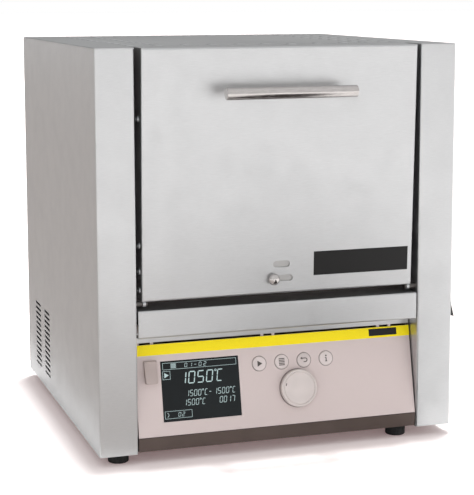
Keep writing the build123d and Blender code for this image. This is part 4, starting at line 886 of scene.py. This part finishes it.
BRIGHT_SIDE = (0.45, -0.88, 0.1)
BEHIND, AHEAD, DIFFUSE_SHARE = 0.38, 0.84, 1.1
FLOOR_LIFT = 0.17
SUN, SUN_SPREAD = 2.5, 4.0
SUN_RAY = (-0.045, -0.05, -1.0)


def world_light():
    """A white surround for the camera. Its light on the furnace is bright in front, dimmer behind and left."""
    world = bpy.data.worlds.new("white_surround")
    world.use_nodes = True
    scene.world = world
    tree = world.node_tree

    def math_node(kind, *values):
        made = tree.nodes.new("ShaderNodeMath")
        made.operation = kind
        for socket, value in zip(made.inputs, values):
            if isinstance(value, bpy.types.NodeSocket):
                tree.links.new(value, socket)
            else:
                socket.default_value = value
        return made.outputs[0]

    rays = tree.nodes.new("ShaderNodeLightPath").outputs
    where = tree.nodes.new("ShaderNodeTexCoord").outputs["Generated"]
    toward = tree.nodes.new("ShaderNodeVectorMath")
    toward.operation = "DOT_PRODUCT"
    tree.links.new(where, toward.inputs[0])
    toward.inputs[1].default_value = BRIGHT_SIDE
    ramp = tree.nodes.new("ShaderNodeMapRange")
    ramp.interpolation_type = "SMOOTHSTEP"
    tree.links.new(toward.outputs["Value"], ramp.inputs["Value"])
    for key, value in {"From Min": -0.9, "From Max": 0.5, "To Min": BEHIND, "To Max": AHEAD}.items():
        ramp.inputs[key].default_value = value
    seen = math_node("MAXIMUM", rays["Is Camera Ray"], rays["Is Transmission Ray"])
    share = math_node("MULTIPLY_ADD", rays["Is Glossy Ray"], 1 - DIFFUSE_SHARE, DIFFUSE_SHARE)
    strength = math_node("MAXIMUM", seen, math_node("MULTIPLY", ramp.outputs["Result"], share))
    background = tree.nodes["Background"]
    background.inputs["Color"].default_value = (1, 1, 1, 1)
    tree.links.new(strength, background.inputs["Strength"])


def dark_card(name, place, width, length, tone, turn=0.0):
    """A card on the floor that only the metal shows, to draw a round bar's underside."""
    bpy.ops.mesh.primitive_plane_add(size=1, location=place)
    card = bpy.context.object
    card.name = name
    card.scale = (width, length, 1)
    card.rotation_euler.z = math.radians(turn)
    g = Graph(name)
    g.surface(Base_Color=linear(tone), Roughness=0.9)
    card.data.materials.append(g.material)
    card.visible_camera = False
    card.visible_diffuse = False
    card.visible_shadow = False
    card.visible_transmission = False


def studio():
    """A pale floor, the surround, a high sun for the contact shadow and cards for the metal."""
    bpy.ops.mesh.primitive_plane_add(size=60, location=(0, 0, 0))
    floor = bpy.context.object
    floor.name = "studio_floor"
    g = Graph("pale_studio_floor")
    rays = g.add("ShaderNodeLightPath").outputs["Is Camera Ray"]
    lift = g.add("ShaderNodeMath", {"operation": "MULTIPLY"}, _0=rays, _1=FLOOR_LIFT).outputs[0]
    g.surface(Base_Color=linear("#f4f2f1"), Roughness=0.95)
    g.surface(Emission_Color=(1, 0.66, 0.66, 1), Emission_Strength=lift)
    g.shader.inputs["Specular IOR Level"].default_value = 0.0
    floor.data.materials.append(g.material)

    world_light()
    data = bpy.data.lights.new("high_sun", "SUN")
    data.energy = SUN
    data.angle = math.radians(SUN_SPREAD)
    sun = bpy.data.objects.new("high_sun", data)
    sun.rotation_euler = Vector(SUN_RAY).to_track_quat("-Z", "Y").to_euler()
    sun.visible_glossy = False
    scene.collection.objects.link(sun)
    dark_card("handle_card", (0.185, -0.62, 0.004), 0.2, 0.86, "#241e1c", 18)
    dark_card("front_card", (-0.5, -0.52, 0.002), 0.96, 0.62, "#b5afac")
    dark_card("left_card", (-4.2, 5.9, 0.002), 7.9, 12.2, "#aaa39f")


def camera():
    """The camera of the fitted view: to the left of the furnace, looking slightly down."""
    data = bpy.data.cameras.new("photo_camera")
    data.sensor_width = 36.0
    data.lens = 107.9
    data.shift_y = -0.1
    data.clip_start, data.clip_end = 0.05, 50
    seen = bpy.data.objects.new("photo_camera", data)
    forward = Vector((0.30750, 0.94160, -0.13725))
    right = Vector((0.95050, -0.31070, -0.00202))
    up = right.cross(forward)
    seen.matrix_world = Matrix((
        (right.x, up.x, -forward.x, 0),
        (right.y, up.y, -forward.y, 0),
        (right.z, up.z, -forward.z, 0),
        (0, 0, 0, 1),
    ))
    seen.location = at(-500.5, -1387.5, 466.4)
    scene.collection.objects.link(seen)
    scene.camera = seen


handle()
slide_knob()
door_badge()
stripe_badge()
flange_screws()
cover_screws()
heating_coils()
key_faces()
dial_face()
display_page()
bright_lip()
rocker_marks()

scene.view_settings.view_transform = "Standard"
studio()
camera()
